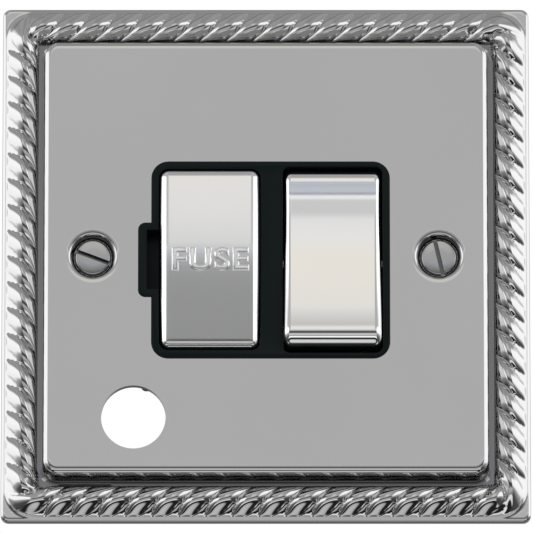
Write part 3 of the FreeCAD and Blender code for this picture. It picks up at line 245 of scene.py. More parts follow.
def finish_mesh(bm: Mesh, name: str, finish: Finish, body: Body, replaced: Sequence[str] = (),
                angle: float = SMOOTH_ANGLE) -> Piece:
    """Turn a bmesh in millimetres into a finished piece.

    Args:
        bm: the piece's mesh; it is freed here.
        name: the piece's name.
        finish: its surface.
        body: the body it rides on.
        replaced: the nodes it stands for.
        angle: edges sharper than this stay sharp.

    Returns:
        The new object.
    """
    bmesh.ops.recalc_face_normals(bm, faces=bm.faces)
    piece = object_of(bm, name)
    mesh = piece.data
    imported_normals = mesh.attributes.get("custom_normal")
    if imported_normals is not None:
        mesh.attributes.remove(imported_normals)
    for polygon in mesh.polygons:
        polygon.use_smooth = True
    mesh.set_sharp_from_angle(angle=angle)
    mesh.materials.append(finish.material())
    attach(piece, body.value)
    if replaced:
        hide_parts(*replaced)
    LOG.info("%s: %d faces", name, len(mesh.polygons))
    return piece


def merged_copy(node: str) -> Mesh:
    """Return a millimetre bmesh of a CAD node with its doubles merged."""
    bm = bmesh.new()
    bm.from_mesh(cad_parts[node].data)
    bmesh.ops.scale(bm, vec=(1 / MM, 1 / MM, 1 / MM), verts=bm.verts)
    bmesh.ops.remove_doubles(bm, verts=bm.verts, dist=MERGE_MM)
    return bm


def dress_node(node: str, finish: Finish) -> None:
    """Give a CAD node a finish."""
    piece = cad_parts[node]
    piece.data.materials.clear()
    piece.data.materials.append(finish.material())


def move(bm: Mesh, place: Vector | Triple, turn: float = 0.0, axis: str = "X") -> None:
    """Turn a mesh by some degrees about an axis through the origin, then move it to its place."""
    if turn:
        matrix = Matrix.Rotation(math.radians(turn), 3, axis)
        bmesh.ops.rotate(bm, cent=(0, 0, 0), matrix=matrix, verts=bm.verts)
    bmesh.ops.translate(bm, vec=place, verts=bm.verts)


def open_edges(bm: Mesh) -> list[bmesh.types.BMEdge]:
    """Return the edges with a face on one side only."""
    return [edge for edge in bm.edges if edge.is_boundary]


def ring_of(bm: Mesh, points: list[Vector]) -> list[Vert]:
    """Make a closed ring of edges through the points and return its vertices in order."""
    made = bmesh.ops.create_circle(bm, cap_ends=False, radius=1.0, segments=len(points))
    ring = made["verts"]
    for vert, point in zip(ring, points):
        vert.co = point
    return ring


def next_ring(bm: Mesh, ring: list[Vert], points: list[Vector]) -> list[Vert]:
    """Extrude a ring of vertices to new places.

    Args:
        bm: the mesh.
        ring: vertices in order.
        points: where the new ring's vertices go.

    Returns:
        The new ring's vertices, in order.
    """
    edges = [bm.edges.get((here, after)) for here, after in zip(ring, ring[1:] + ring[:1])]
    extruded = bmesh.ops.extrude_edge_only(bm, edges=edges)
    fresh = {item for item in extruded["geom"] if isinstance(item, Vert)}
    following = []
    for vert in ring:
        for edge in vert.link_edges:
            other = edge.other_vert(vert)
            if other in fresh:
                following.append(other)
                break
    for vert, point in zip(following, points):
        vert.co = point
    return following


def joined(bm: Mesh, ring: list[Vert], loops: Iterable[list[Vector]]) -> list[Vert]:
    """Extrude a ring through one loop after another and return the last ring."""
    for points in loops:
        ring = next_ring(bm, ring, points)
    return ring


def rounded(radius: float, steps: int) -> list[Pair]:
    """Return inset and depth of points round a quarter circle, from a side wall to the front."""
    turns = [math.pi / 2 * step / steps for step in range(steps + 1)]
    return [(radius * (1 - math.cos(turn)), radius * (1 - math.sin(turn))) for turn in turns]


def turned(profile: list[Pair], steps: int) -> Mesh:
    """Turn a profile of radius and depth round the depth axis, from one place on it to another."""
    bm = bmesh.new()
    line = [bm.verts.new((radius, depth, 0)) for radius, depth in profile]
    edges = [bm.edges.new((here, after)) for here, after in zip(line, line[1:])]
    bmesh.ops.spin(bm, geom=line + edges, cent=(0, 0, 0), axis=(0, 1, 0), dvec=(0, 0, 0),
                   angle=math.tau, steps=steps, use_merge=True)
    bmesh.ops.remove_doubles(bm, verts=bm.verts, dist=1e-4)
    return bm


def cut_slot(piece: Piece, size: Triple, face_y: float, turn: float, finish: Finish) -> None:
    """Cut a driver's slot across the end of a piece that is centred on the depth axis.

    Args:
        piece: the screw.
        size: the slot's length, twice its depth, and its width.
        face_y: depth of the screw's end.
        turn: the slot's turn about the screw, in degrees.
        finish: surface of the slot's walls.
    """
    cutter = bmesh.new()
    bmesh.ops.create_cube(cutter, size=1.0)
    bmesh.ops.scale(cutter, vec=size, verts=cutter.verts)
    move(cutter, (0, face_y, 0), -turn, "Y")
    tool = object_of(cutter, "cutter")
    tool.data.materials.append(finish.material())
    cut = piece.modifiers.new("slot", "BOOLEAN")
    cut.operation = "DIFFERENCE"
    cut.object = tool
    cut.solver = "EXACT"
    cut.material_mode = "TRANSFER"
    bpy.context.view_layer.update()
    done = bpy.data.meshes.new_from_object(piece.evaluated_get(bpy.context.evaluated_depsgraph_get()))
    piece.modifiers.remove(cut)
    bpy.data.objects.remove(tool)
    old = piece.data
    piece.data = done
    bpy.data.meshes.remove(old)
    piece.data.set_sharp_from_angle(angle=SCREW_ANGLE)


@dataclass
class RopePlate:
    """The polished plate: field, sinks, groove, twisted rope and rim over the cast back."""

    plate_half: float = 46.1
    field_half: float = 38.0
    field_corner: float = 1.8
    foot_half: float = 38.8
    groove_half: float = 39.8
    groove_corner: float = 3.6
    rope_half: float = 42.4
    rope_corner: float = 2.98
    pitch: float = 4.64
    field_height: float = 8.0
    field_edge_r: float = 1.05
    field_edge_start: float = 37.62
    groove_floor: float = 2.0
    rim_height: float = 2.8
    rim_corner: float = 0.75
    rim_fall: float = 0.5
    rim_fall_width: float = 2.4
    rim_edge_r: float = 0.6
    valley: float = 4.15
    strand_rise: float = 1.05
    rope_in: float = 2.6
    rope_out: float = 2.85
    straight_strands: int = 13
    steps_per_strand: int = 16
    corner_steps: int = 96
    band_rows: int = 34
    screw_x: float = 30.15
    sink_r: float = 4.0
    sink_mouth: Pairs = (
        (3.5, 1.0), (3.68, 0.6), (3.82, 0.34), (3.96, 0.16), (4.12, 0.05), (4.32, 0.0), (4.9, 0.0))
    sink_cone_depth: float = 1.51
    sink_seat_depth: float = 2.0
    outer_slant: float = 0.84
    inner_slant: float = 0.8
    strand_taper: float = 0.4
    strand_roundness: float = 0.85
    edge_turn: float = 10.2
    edge_steps: int = 9
    rim_steps: int = 5
    rim_back_corner: float = 1.37
    kept_margin: float = 1.3
    groove_deepest: float = 3.4
    sink_shade_y: float = 7.7
    cast_back_y: float = 6.5
    cast_back_half: float = 36.7
    wall_face_y: float = 0.01
    field_support: Pair = (0.9, 0.25)
    foot_fillet: Pairs = ((-0.06, 0.35), (0.05, 0.06), (0.25, 0.0))
    back_edge: Pairs = ((0.0, 0.3), (0.09, 0.09), (0.3, 0.0))
    seam: float = 0.02
    least_corner: float = 0.5
    groove_in: float = 0.1
    groove_out: float = 0.12
    cone_normal_y: float = 0.99

    def slant(self, out: float) -> float:
        """How far a strand has moved along the rope at a distance outward from the rope's line."""
        if out >= 0:
            return self.outer_slant * min(out, self.rope_out)
        share = min(1.0, -out / self.rope_in)
        return -self.inner_slant * self.rope_in * math.asin(share)

    def rope_place(self, x: float, z: float) -> Pair:
        """Distance along the rope from a side's middle, and outward from the rope's line.

        Args:
            x: place across the plate.
            z: place up the plate.

        Returns:
            Distance along, distance outward.
        """
        if abs(x) > abs(z):
            x, z = (z, -x) if x > 0 else (-z, x)
        elif z > 0:
            x, z = -x, -z
        straight = self.rope_half - self.rope_corner
        if abs(x) <= straight:
            return x, -z - self.rope_half
        out_x, out_z = abs(x) - straight, -z - straight
        angle = math.atan2(out_x, max(out_z, 1e-6))
        along = straight + self.rope_corner * angle
        return math.copysign(along, x), math.hypot(out_x, out_z) - self.rope_corner

    def height_at(self, x: float, z: float) -> float:
        """Height of the border's surface above the wall.

        Args:
            x: place across the plate.
            z: place up the plate.

        Returns:
            The height in millimetres.
        """
        along, out = self.rope_place(x, z)
        phase = (along + self.slant(out)) / self.pitch
        across = abs(phase - math.floor(phase) - 0.5) * 2.0
        if out >= 0:
            reach = min(1.0, out / self.rope_out)
            base = self.rim_height + (self.valley - self.rim_height) * (0.5 + 0.5 * math.cos(math.pi * reach))
            width = 1.0 - self.strand_taper * reach ** 1.4
            share = math.sqrt(1.0 - reach ** 2.6)
        else:
            reach = min(1.0, -out / self.rope_in)
            base = self.groove_floor + (self.valley - self.groove_floor) * math.sqrt(1.0 - reach ** 2)
            width = 1.0
            share = math.sqrt(1.0 - reach ** 2)
        strand = max(0.0, 1.0 - (across / width) ** 2) ** self.strand_roundness
        rim_start = self.plate_half - self.rim_edge_r - self.rim_fall_width
        bend = rim_start - self.rim_fall_width
        outward = math.hypot(max(0.0, abs(x) - bend), max(0.0, abs(z) - bend)) - self.rim_fall_width
        beyond = max(0.0, outward) / self.rim_fall_width
        return base + self.strand_rise * strand * share - self.rim_fall * min(1.0, beyond) ** 2

    def loop(self, half: float, radius: float, height: float | None) -> list[Vector]:
        """One ring of the border, its steps slanted like the strands.

        Args:
            half: half the ring's side.
            radius: its corner radius.
            height: height above the wall, or None for the rope's surface.

        Returns:
            The ring's points.
        """
        move = self.slant(max(-self.rope_in, min(self.rope_out, half - self.rope_half)))
        reach = self.straight_strands * self.pitch / 2
        steps = self.straight_strands * self.steps_per_strand
        run = half - radius
        before = run - (reach - move)
        arc = radius * math.pi / 2
        total = before + arc + (-reach - move) + run
        side = [Vector((-reach - move + 2 * reach * step / steps, 0, -half)) for step in range(steps)]
        for step in range(self.corner_steps):
            place = total * step / self.corner_steps
            if place <= before:
                side.append(Vector((reach - move + place, 0, -half)))
            elif place <= before + arc:
                angle = (place - before) / radius
                side.append(Vector((run + radius * math.sin(angle), 0, -run - radius * math.cos(angle))))
            else:
                side.append(Vector((half, 0, -run + place - before - arc)))
        points = []
        for quarter in range(4):
            turn = Matrix.Rotation(math.radians(-90 * quarter), 3, "Y")
            points.extend(turn @ point for point in side)
        for point in points:
            point.y = -(self.height_at(point.x, point.z) if height is None else height)
        return points

    def rings(self) -> list[list[Vector]]:
        """All rings, from the field's edge over the rope to the back of the rim."""
        edge_r = self.field_edge_r
        corner_centre = self.field_half - self.field_corner
        start = self.field_edge_start
        halves = [start - inward for inward in self.field_support]
        made = [self.loop(half, max(self.least_corner, half - corner_centre), self.field_height)
                for half in halves]
        for step in range(self.edge_steps):
            angle = math.radians(step * self.edge_turn)
            half = start + edge_r * math.sin(angle)
            height = self.field_height - edge_r * (1 - math.cos(angle))
            made.append(self.loop(half, half - corner_centre, height))
        for outward, height in self.foot_fillet:
            half = self.foot_half + outward
            made.append(self.loop(half, half - corner_centre, self.groove_floor + height))
        made.append(self.loop(self.groove_half - self.seam, self.groove_corner - self.seam,
                              self.groove_floor))
        band_end = self.plate_half - self.rim_edge_r - self.seam
        for row in range(self.band_rows + 1):
            share = row / self.band_rows
            half = self.groove_half + (band_end - self.groove_half) * share
            radius = self.groove_corner + (self.rim_corner - self.groove_corner) * share
            made.append(self.loop(half, radius, None))
        for fall, inward in rounded(self.rim_edge_r, self.rim_steps)[1:]:
            outward = self.rim_edge_r - inward
            made.append(self.loop(band_end + self.seam + outward, self.rim_corner + outward,
                                  self.rim_height - self.rim_fall - fall))
        for inward, height in self.back_edge:
            made.append(self.loop(self.plate_half - inward, self.rim_back_corner - inward, height))
        return made

    def build_sink(self, bm: Mesh, x: float) -> None:
        """Form the rolled mouth of the screw sink at x, from its seat up to the field."""
        middle = Vector((x, 0, 0))
        seat = [
            edge for edge in bm.edges
            if edge.is_boundary and all(
                vert.co.y < self.sink_seat_depth - self.field_height
                and math.hypot(vert.co.x - x, vert.co.z) < self.sink_r
                for vert in edge.verts)
        ]
        ring = sorted({vert for edge in seat for vert in edge.verts},
                      key=lambda vert: math.atan2(vert.co.z, vert.co.x - x))
        ways = [Vector((vert.co.x - x, 0, vert.co.z)).normalized() for vert in ring]
        levels = [(radius, Vector((0, depth - self.field_height, 0))) for radius, depth in self.sink_mouth]
        joined(bm, ring, ([middle + way * radius + level for way in ways] for radius, level in levels))

    def build(self) -> None:
        """Build the plate: its openings and back follow the casting, the front is formed anew."""
        bm = merged_copy("front_plate")
        keep = self.field_half - self.kept_margin
        formed_anew = [
            face for face in bm.faces
            if any(max(abs(vert.co.x), abs(vert.co.z)) > keep for vert in face.verts)
            or all(abs(vert.co.y + self.field_height) < TOUCH_MM for vert in face.verts)
            or self.is_cone(face)
        ]
        bmesh.ops.delete(bm, geom=formed_anew, context="FACES")
        for x in (-self.screw_x, self.screw_x):
            self.build_sink(bm, x)
        loose_edges = open_edges(bm)
        mouths = [edge for edge in loose_edges if edge.verts[0].co.y < -self.field_height / 2]
        foot = [edge for edge in loose_edges if edge.verts[0].co.y > -self.field_height / 2]
        rings = self.rings()
        first = ring_of(bm, rings[0])
        last = joined(bm, first, rings[1:])
        for loose, closed in ((mouths, first), (foot, last)):
            loop = [bm.edges.get((here, after)) for here, after in zip(closed, closed[1:] + closed[:1])]
            bmesh.ops.triangle_fill(bm, use_beauty=True, use_dissolve=False, edges=loose + loop)
        self.dress(finish_mesh(bm, "rope_plate", PLATE_CHROME, Body.HOUSING, ["front_plate"]))

    def dress(self, piece: Piece) -> None:
        """Give the plate's cast back its own surface, and paint shade into its sinks and its groove with
        darker chrome.
        """
        for finish in (PLATE_BACK, SINK_SHADE, GROOVE_PAINTED_SHADE):
            piece.data.materials.append(finish.material())
        # Material 2 paints shade low in the sinks, material 3 paints shade in the groove.
        back, sink, groove = 1, 2, 3
        groove_from, groove_to = self.foot_half - self.groove_in, self.groove_half + self.groove_out
        for polygon in piece.data.polygons:
            x, y, z = polygon.center / MM
            outward = max(abs(x), abs(z))
            # Painted shade in the groove between the field's foot and the rope.
            if groove_from < outward < groove_to and y > -self.groove_deepest:
                polygon.material_index = groove
            # Painted shade on the lower walls of the screw sinks.
            if y > -self.sink_shade_y and math.hypot(abs(x) - self.screw_x, z) < self.sink_r:
                polygon.material_index = sink
            if y > -self.cast_back_y and outward < self.cast_back_half:
                polygon.material_index = back
            if y > -self.wall_face_y:
                polygon.material_index = back
                polygon.use_smooth = False

    def is_cone(self, face: bmesh.types.BMFace) -> bool:
        """Say whether a face of the casting belongs to the plain cone of a screw sink."""
        if max(vert.co.y for vert in face.verts) > self.sink_cone_depth - self.field_height:
            return False
        furthest = max(math.hypot(abs(vert.co.x) - self.screw_x, vert.co.z) for vert in face.verts)
        return furthest <= self.sink_r + self.seam and abs(face.normal.y) < self.cone_normal_y


@dataclass
class FuseCap:
    """The bright cap of the fuse drawer with its raised word."""

    centre_x: float = -9.76
    centre_z: float = -0.7
    width: float = 17.4
    height: float = 32.2
    front_y: float = -10.1
    depth: float = 3.8
    corner_r: float = 1.6
    least_r: float = 0.15
    steps_x: int = 12
    steps_z: int = 40
    corner_steps: int = 8
    edge_r: float = 1.6
    upper_tilt: float = 3.6
    lower_tilt: float = 4.9
    flat_margin: float = 0.25
    turn_span: float = 3.0
    turn_z: float = 2.2
    crown_steps: int = 40
    edge_steps: int = 9
    wall: float = 0.8
    ceiling: float = 1.4
    crown_share: float = 0.35
    crown_divisor: float = 1.1
    word_height: float = 4.3
    word_width: float = 13.5
    word_rise: float = 0.5
    word_shift: Triple = (0.12, 0.06, -0.4)
    sharp_angle: float = math.radians(42)

    def crown(self, z: float) -> float:
        """How far the front falls back, in millimetres, at a height from the cap's middle."""
        half = self.height / 2
        above = z - self.turn_z
        if above >= 0:
            bow = self.crown_share + (1.0 - self.crown_share) * above / half
            return math.tan(math.radians(self.upper_tilt)) * above * bow / self.crown_divisor
        down = -above
        soft = self.turn_span * math.log(math.cosh(down / self.turn_span))
        return math.tan(math.radians(self.lower_tilt)) * soft

    def build(self) -> None:
        """Build the cap and its word."""
        self.build_cap()
        self.build_word()

    def loop(self, inset: float, depth: float) -> list[Vector]:
        """One ring round the cap, anticlockwise seen from the front, lower side first.

        Args:
            inset: how far it lies inside the cap's outline.
            depth: depth behind the front's middle.

        Returns:
            The ring's points.
        """
        radius = max(self.least_r, self.corner_r - inset)
        half_x, half_z = self.width / 2 - inset, self.height / 2 - inset
        run_x, run_z = half_x - radius, half_z - radius
        sides = (
            ((-run_x, -half_z), (run_x, -half_z), (run_x, -run_z), self.steps_x),
            ((half_x, -run_z), (half_x, run_z), (run_x, run_z), self.steps_z),
            ((run_x, half_z), (-run_x, half_z), (-run_x, run_z), self.steps_x),
            ((-half_x, run_z), (-half_x, -run_z), (-run_x, -run_z), self.steps_z),
        )
        points = []
        for side, (start, end, centre, count) in enumerate(sides):
            line = [Vector(start).lerp(Vector(end), step / count) for step in range(count)]
            for step in range(self.corner_steps):
                angle = math.radians(90 * (side - 1 + step / self.corner_steps))
                line.append(Vector(centre) + radius * Vector((math.cos(angle), math.sin(angle))))
            points += [Vector((x, depth, z)) for x, z in line]
        return points

    def build_cap(self) -> None:
        """Build the hollow cap with rounded edges and a front that leans two ways."""
        bm = bmesh.new()
        first = ring_of(bm, self.loop(self.wall, self.ceiling))
        joined(bm, first, (self.loop(inset, depth) for inset, depth in (
            (self.wall, self.depth), (0.0, self.depth), *rounded(self.edge_r, self.edge_steps),
            (self.edge_r + self.flat_margin, 0.0))))
        bmesh.ops.holes_fill(bm, edges=open_edges(bm), sides=0)
        for step in range(1, self.crown_steps):
            level = -self.height / 2 + self.height * step / self.crown_steps
            fronts = [face for face in bm.faces if len(face.verts) > 4 and face.calc_center_median().y < 0.1]
            cut = dict.fromkeys(part for face in fronts for part in (face, *face.edges, *face.verts))
            bmesh.ops.bisect_plane(bm, geom=list(cut), plane_co=(0, 0, level), plane_no=(0, 0, 1))
        for vert in bm.verts:
            if vert.co.y < self.edge_r + TOUCH_MM:
                vert.co.y += self.crown(vert.co.z)
        move(bm, (self.centre_x, self.front_y, self.centre_z))
        finish_mesh(bm, "drawer_cap", DRAWER_CHROME, Body.DRAWER, ["fuse_carrier_cap"], self.sharp_angle)

    def build_word(self) -> None:
        """Raise the generic word on the cap in plain rounded letters."""
        curve = bpy.data.curves.new("word", "FONT")
        curve.body = "FUSE"
        curve.space_character = 1.16
        curve.extrude = 0.01
        curve.bevel_depth = 0.075
        curve.bevel_resolution = 5
        curve.offset = -0.014
        curve.resolution_u = 8
        text = linked("word", curve)
        bpy.context.view_layer.update()
        mesh = bpy.data.meshes.new_from_object(text.evaluated_get(bpy.context.evaluated_depsgraph_get()))
        bpy.data.objects.remove(text)
        bm = bmesh.new()
        bm.from_mesh(mesh)
        bpy.data.meshes.remove(mesh)
        bmesh.ops.remove_doubles(bm, verts=bm.verts, dist=1e-5)
        low = [min(vert.co[axis] for vert in bm.verts) for axis in range(3)]
        high = [max(vert.co[axis] for vert in bm.verts) for axis in range(3)]
        for vert in bm.verts:
            x = ((vert.co.x - low[0]) / (high[0] - low[0]) - 0.5) * self.word_width
            z = ((vert.co.y - low[1]) / (high[1] - low[1]) - 0.5) * self.word_height
            lift = (vert.co.z - low[2]) / (high[2] - low[2])
            vert.co = Vector((x, -lift * 2 * self.word_rise + self.word_rise, z))
        move(bm, Vector((self.centre_x, self.front_y, self.centre_z)) + Vector(self.word_shift))
        finish_mesh(bm, "drawer_word", WORD_CHROME, Body.DRAWER)


@dataclass
class RockerCap:
    """The bright rocker cap: a hollow face with round noses, pressed in at its top."""

    centre_x: float = 11.64
    pivot_y: float = -4.4
    pivot_z: float = -0.7
    width: float = 17.0
    end_r: float = 16.5
    nose_r: float = 2.4
    face_y: float = -8.9
    dish_r: float = 85.0
    side_r: float = 1.25
    flat_margin: float = 0.25
    tilt: float = 6.0
    back_y: float = -5.7
    end_steps: int = 10
    nose_steps: int = 14
    face_steps: int = 64
    side_steps: int = 8
    sharp_angle: float = math.radians(50)

    def outline(self, inset: float) -> list[Vector]:
        """The side view's outline, from the upper back round the front to the lower back.

        Args:
            inset: how far the outline lies inside the full one.

        Returns:
            The outline's points at x = 0.
        """
        end_r = self.end_r - inset
        nose_r = self.nose_r - inset
        dish_r = self.dish_r + inset
        dish_y = self.face_y - self.dish_r
        from_pivot = self.end_r - self.nose_r
        from_dish = self.dish_r + self.nose_r
        span = self.pivot_y - dish_y
        nose_y = dish_y + (from_dish ** 2 - from_pivot ** 2 + span ** 2) / (2 * span)
        nose_z = math.sqrt(from_pivot ** 2 - (nose_y - self.pivot_y) ** 2)
        end_start = math.asin((self.back_y - self.pivot_y) / end_r)
        end_stop = math.atan2(nose_y - self.pivot_y, nose_z)
        dish_turn = math.atan2(nose_z, nose_y - dish_y)
        nose_stop = -math.pi / 2 - dish_turn
        upper = []
        for step in range(self.end_steps):
            angle = end_start + (end_stop - end_start) * step / self.end_steps
            upper.append(Vector((0, self.pivot_y + end_r * math.sin(angle), end_r * math.cos(angle))))
        for step in range(self.nose_steps + 1):
            angle = end_stop + (nose_stop - end_stop) * step / self.nose_steps
            upper.append(Vector((0, nose_y + nose_r * math.sin(angle), nose_z + nose_r * math.cos(angle))))
        face = []
        for step in range(1, self.face_steps):
            angle = dish_turn * (1 - 2 * step / self.face_steps)
            face.append(Vector((0, dish_y + dish_r * math.cos(angle), dish_r * math.sin(angle))))
        lower = [Vector((0, point.y, -point.z)) for point in reversed(upper)]
        return upper + face + lower

    def build(self) -> None:
        """Build the cap from side views that shrink round its side edges."""
        bm = bmesh.new()
        half = self.width / 2
        stations = [(half - inward, inset) for inward, inset in rounded(self.side_r, self.side_steps)]
        stations.append((half - self.side_r - self.flat_margin, 0.0))
        rows = [(-x, inset) for x, inset in stations] + stations[::-1]
        loops = [[point + Vector((x, 0, 0)) for point in self.outline(inset)] for x, inset in rows]
        joined(bm, ring_of(bm, loops[0]), loops[1:])
        bmesh.ops.holes_fill(bm, edges=open_edges(bm), sides=0)
        move(bm, (0, -self.pivot_y, 0))
        move(bm, (self.centre_x, self.pivot_y, self.pivot_z), -self.tilt)
        finish_mesh(bm, "rocker_shell", CAP_CHROME, Body.ROCKER, ["rocker_cap"], self.sharp_angle)


@dataclass
class FixingScrew:
    """A raised countersunk slotted screw with a rolled thread."""

    side: str
    x: float
    slot_turn: float
    rim_y: float = -6.5
    head_r: float = 3.25
    dome: float = 0.6
    flat_r: float = 2.75
    shank_r: float = 1.75
    root_r: float = 1.42
    neck_r: float = 1.4
    neck_end: float = -0.95
    length: float = 25.0
    thread_pitch: float = 0.6
    slot_width: float = 0.75
    slot_depth: float = 1.1
    crown_fall: float = 0.05
    rim_width: float = 0.1
    thread_shares: Triple = (1.0 / 12, 0.46, 0.56)
    tip_length: float = 0.4
    tip_share: float = 0.7
    steps: int = 64

    def profile(self) -> list[Pair]:
        """Radius and depth along the screw, from the crown's middle to the tip."""
        crown = self.rim_y - self.dome
        points = [(self.flat_r / 2, crown + self.crown_fall / 5), (self.flat_r, crown + self.crown_fall)]
        for fall, inward in rounded(1.0, 6)[1:]:
            radius = self.head_r - (self.head_r - self.flat_r) * inward
            height = (self.dome + self.crown_fall) * (1.0 - fall)
            points.append((radius, self.rim_y + self.rim_width - height))
        points.append((self.neck_r, self.rim_y + self.head_r - self.neck_r))
        points.append((self.neck_r, self.neck_end - self.rim_width))
        tip = self.rim_y + self.length
        for turn in range(int((tip - self.neck_end - self.tip_length) / self.thread_pitch)):
            for radius, share in zip((self.root_r, self.shank_r, self.shank_r), self.thread_shares):
                points.append((radius, self.neck_end + (turn + share) * self.thread_pitch))
        points += [(self.root_r, tip - self.tip_length), (self.root_r * self.tip_share, tip)]
        return points

    def build(self) -> None:
        """Spin the screw, cut its slot and set it in its sink."""
        line = [(0.0, self.rim_y - self.dome), *self.profile(), (0.0, self.rim_y + self.length)]
        piece = finish_mesh(turned(line, self.steps), "screw_" + self.side, SCREW_CHROME, Body.HOUSING,
                            ["fixing_screw_" + self.side], SCREW_ANGLE)
        cutter = (3 * self.head_r, 2 * self.slot_depth, self.slot_width)
        # The slot's walls take the sinks' darker chrome: painted shade in the slot.
        cut_slot(piece, cutter, self.rim_y - self.dome, self.slot_turn, SINK_SHADE)
        piece.data.transform(Matrix.Translation((self.x * MM, 0, 0)))


@dataclass
class SlottedScrew:
    """A small screw along the depth axis with a rolled thread and a slotted end that faces the rear."""

    node: str
    finish: Finish
    slot_turn: float
    shank_r: float
    head_height: float = 0.0
    edge_r: float = 0.25
    thread_pitch: float = 0.5
    thread_depth: float = 0.16
    slot_width: float = 0.6
    slot_depth: float = 0.75
    thread_shares: Triple = (0.5, 0.94, 1.06)
    tip_share: float = 0.7
    steps: int = 32

    def build(self) -> None:
        """Turn the screw in its node's place and cut its slot."""
        low, high = (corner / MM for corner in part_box(self.node))
        head_r = (high.x - low.x) / 2
        run = self.shank_r - self.thread_depth
        line = [(0.0, high.y)]
        line += [(head_r - inward, high.y - fall) for fall, inward in rounded(self.edge_r, 5)]
        seat = high.y - max(self.head_height, 2 * self.edge_r)
        line += [(head_r, seat), (run, seat)]
        turns = int((seat - low.y - 2 * self.thread_pitch) / self.thread_pitch)
        for turn in range(turns):
            for radius, share in zip((run, self.shank_r, self.shank_r), self.thread_shares):
                line.append((radius, seat - (turn + share) * self.thread_pitch))
        line.append((run, seat - (turns + self.thread_shares[0]) * self.thread_pitch))
        line += [(run * self.tip_share, low.y), (0.0, low.y)]
        piece = finish_mesh(turned(line, self.steps), "slotted_" + self.node, self.finish, Body.HOUSING,
                            [self.node], SCREW_ANGLE)
        cutter = (3 * head_r, 2 * self.slot_depth, self.slot_width)
        cut_slot(piece, cutter, high.y, self.slot_turn, self.finish)
        piece.data.transform(Matrix.Translation(((low.x + high.x) / 2 * MM, 0, (low.z + high.z) / 2 * MM)))


@dataclass
class CartridgeFuse:
    """The cartridge fuse: a ceramic tube between two pressed end caps."""

    centre_x: float = -9.76
    centre_y: float = 1.0
    centre_z: float = -0.7
    half: float = 12.7
    cap_r: float = 3.15
    cap_length: float = 6.0
    cap_wall: float = 0.25
    edge_r: float = 0.45
    gap: float = 0.05
    steps: int = 48

    def build(self) -> None:
        """Build the tube and its caps along Y and turn them upright."""
        centre = (self.centre_x, self.centre_y, self.centre_z)
        end = self.half - self.cap_wall - self.gap
        tube_r = self.cap_r - self.cap_wall - self.gap
        tube = turned([(0.0, -end), (tube_r, -end), (tube_r, end), (0.0, end)], self.steps)
        move(tube, centre, 90)
        finish_mesh(tube, "fuse_tube", CERAMIC_WHITE, Body.DRAWER, ["fuse_body"])
        inner = self.cap_r - self.cap_wall
        mouth = self.half - self.cap_length
        for name, turn in (("upper", 90), ("lower", -90)):
            edge = [(self.cap_r - inward, self.half - fall) for inward, fall in rounded(self.edge_r, 6)]
            cap = turned([(0.0, self.half - self.cap_wall), (inner, self.half - self.cap_wall),
                          (inner, mouth), (self.cap_r, mouth), *edge, (0.0, self.half)], self.steps)
            move(cap, centre, turn)
            finish_mesh(cap, "fuse_cap_" + name, NICKEL_GREY, Body.DRAWER, ["fuse_end_cap_" + name])


@dataclass
class PlungerSpring:
    """A coiled compression spring behind a plunger, tilted with the rocker at rest."""

    pole: str
    tilt: float = 6.0
    coil_r: float = 0.8
    wire_r: float = 0.11
    wire_sides: int = 8
    length: float = 1.6
    turns: int = 4
    steps_per_turn: int = 20

    def build(self) -> None:
        """Wind the spring in its node's place."""
        low, high = (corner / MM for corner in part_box("plunger_spring_" + self.pole))
        bm = bmesh.new()
        bmesh.ops.create_circle(bm, cap_ends=False, radius=self.wire_r, segments=self.wire_sides)
        move(bm, (self.coil_r, 0, 0))
        steps = self.turns * self.steps_per_turn
        bmesh.ops.spin(bm, geom=[*bm.verts, *bm.edges], cent=(0, 0, 0), axis=(0, 1, 0),
                       dvec=(0, self.length / steps, 0), angle=math.tau * self.turns, steps=steps,
                       use_merge=False)
        bmesh.ops.holes_fill(bm, edges=open_edges(bm), sides=0)
        move(bm, (0, -self.length / 2, 0))
        move(bm, (low + high) / 2, -self.tilt)
        finish_mesh(bm, "coil_" + self.pole, STEEL_ZINC, Body.ROCKER, ["plunger_spring_" + self.pole])


@dataclass
class Mouldings:
    """The black mouldings: the insert in front, the rear housing and the clamp bar."""

    insert_front: float = -8.35
    edge_width: float = 0.22
    sharp_angle: float = math.radians(40)

    def build(self) -> None:
        """Build the insert with softened edges, and dress the rear housing, the clamp bar, the carrier, the
        rocker body and the plungers.
        """
        bm = merged_copy("front_moulding")
        bmesh.ops.dissolve_limit(bm, angle_limit=math.radians(0.5), verts=bm.verts, edges=bm.edges)
        sharp = [
            edge for edge in bm.edges
            if len(edge.link_faces) == 2 and edge.calc_face_angle(0.0) > self.sharp_angle
            and max(vert.co.y for vert in edge.verts) < self.insert_front
        ]
        bmesh.ops.bevel(bm, geom=sharp, offset=self.edge_width, offset_type="OFFSET", segments=3, profile=0.5,
                        affect="EDGES", clamp_overlap=True, material=-1)
        finish_mesh(bm, "insert_bezel", INSERT_BLACK, Body.HOUSING, ["front_moulding"])
        for node in ("rear_housing", "cord_clamp_bar"):
            dress_node(node, HOUSING_BLACK)
        for node in ("fuse_carrier", "rocker_body", "plunger_live", "plunger_neutral"):
            dress_node(node, CARRIER_BLACK)


def named(*parts: str) -> list[str]:
    """Return the CAD nodes whose names hold one of the parts, in the frame's order."""
    return [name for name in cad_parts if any(part in name for part in parts)]


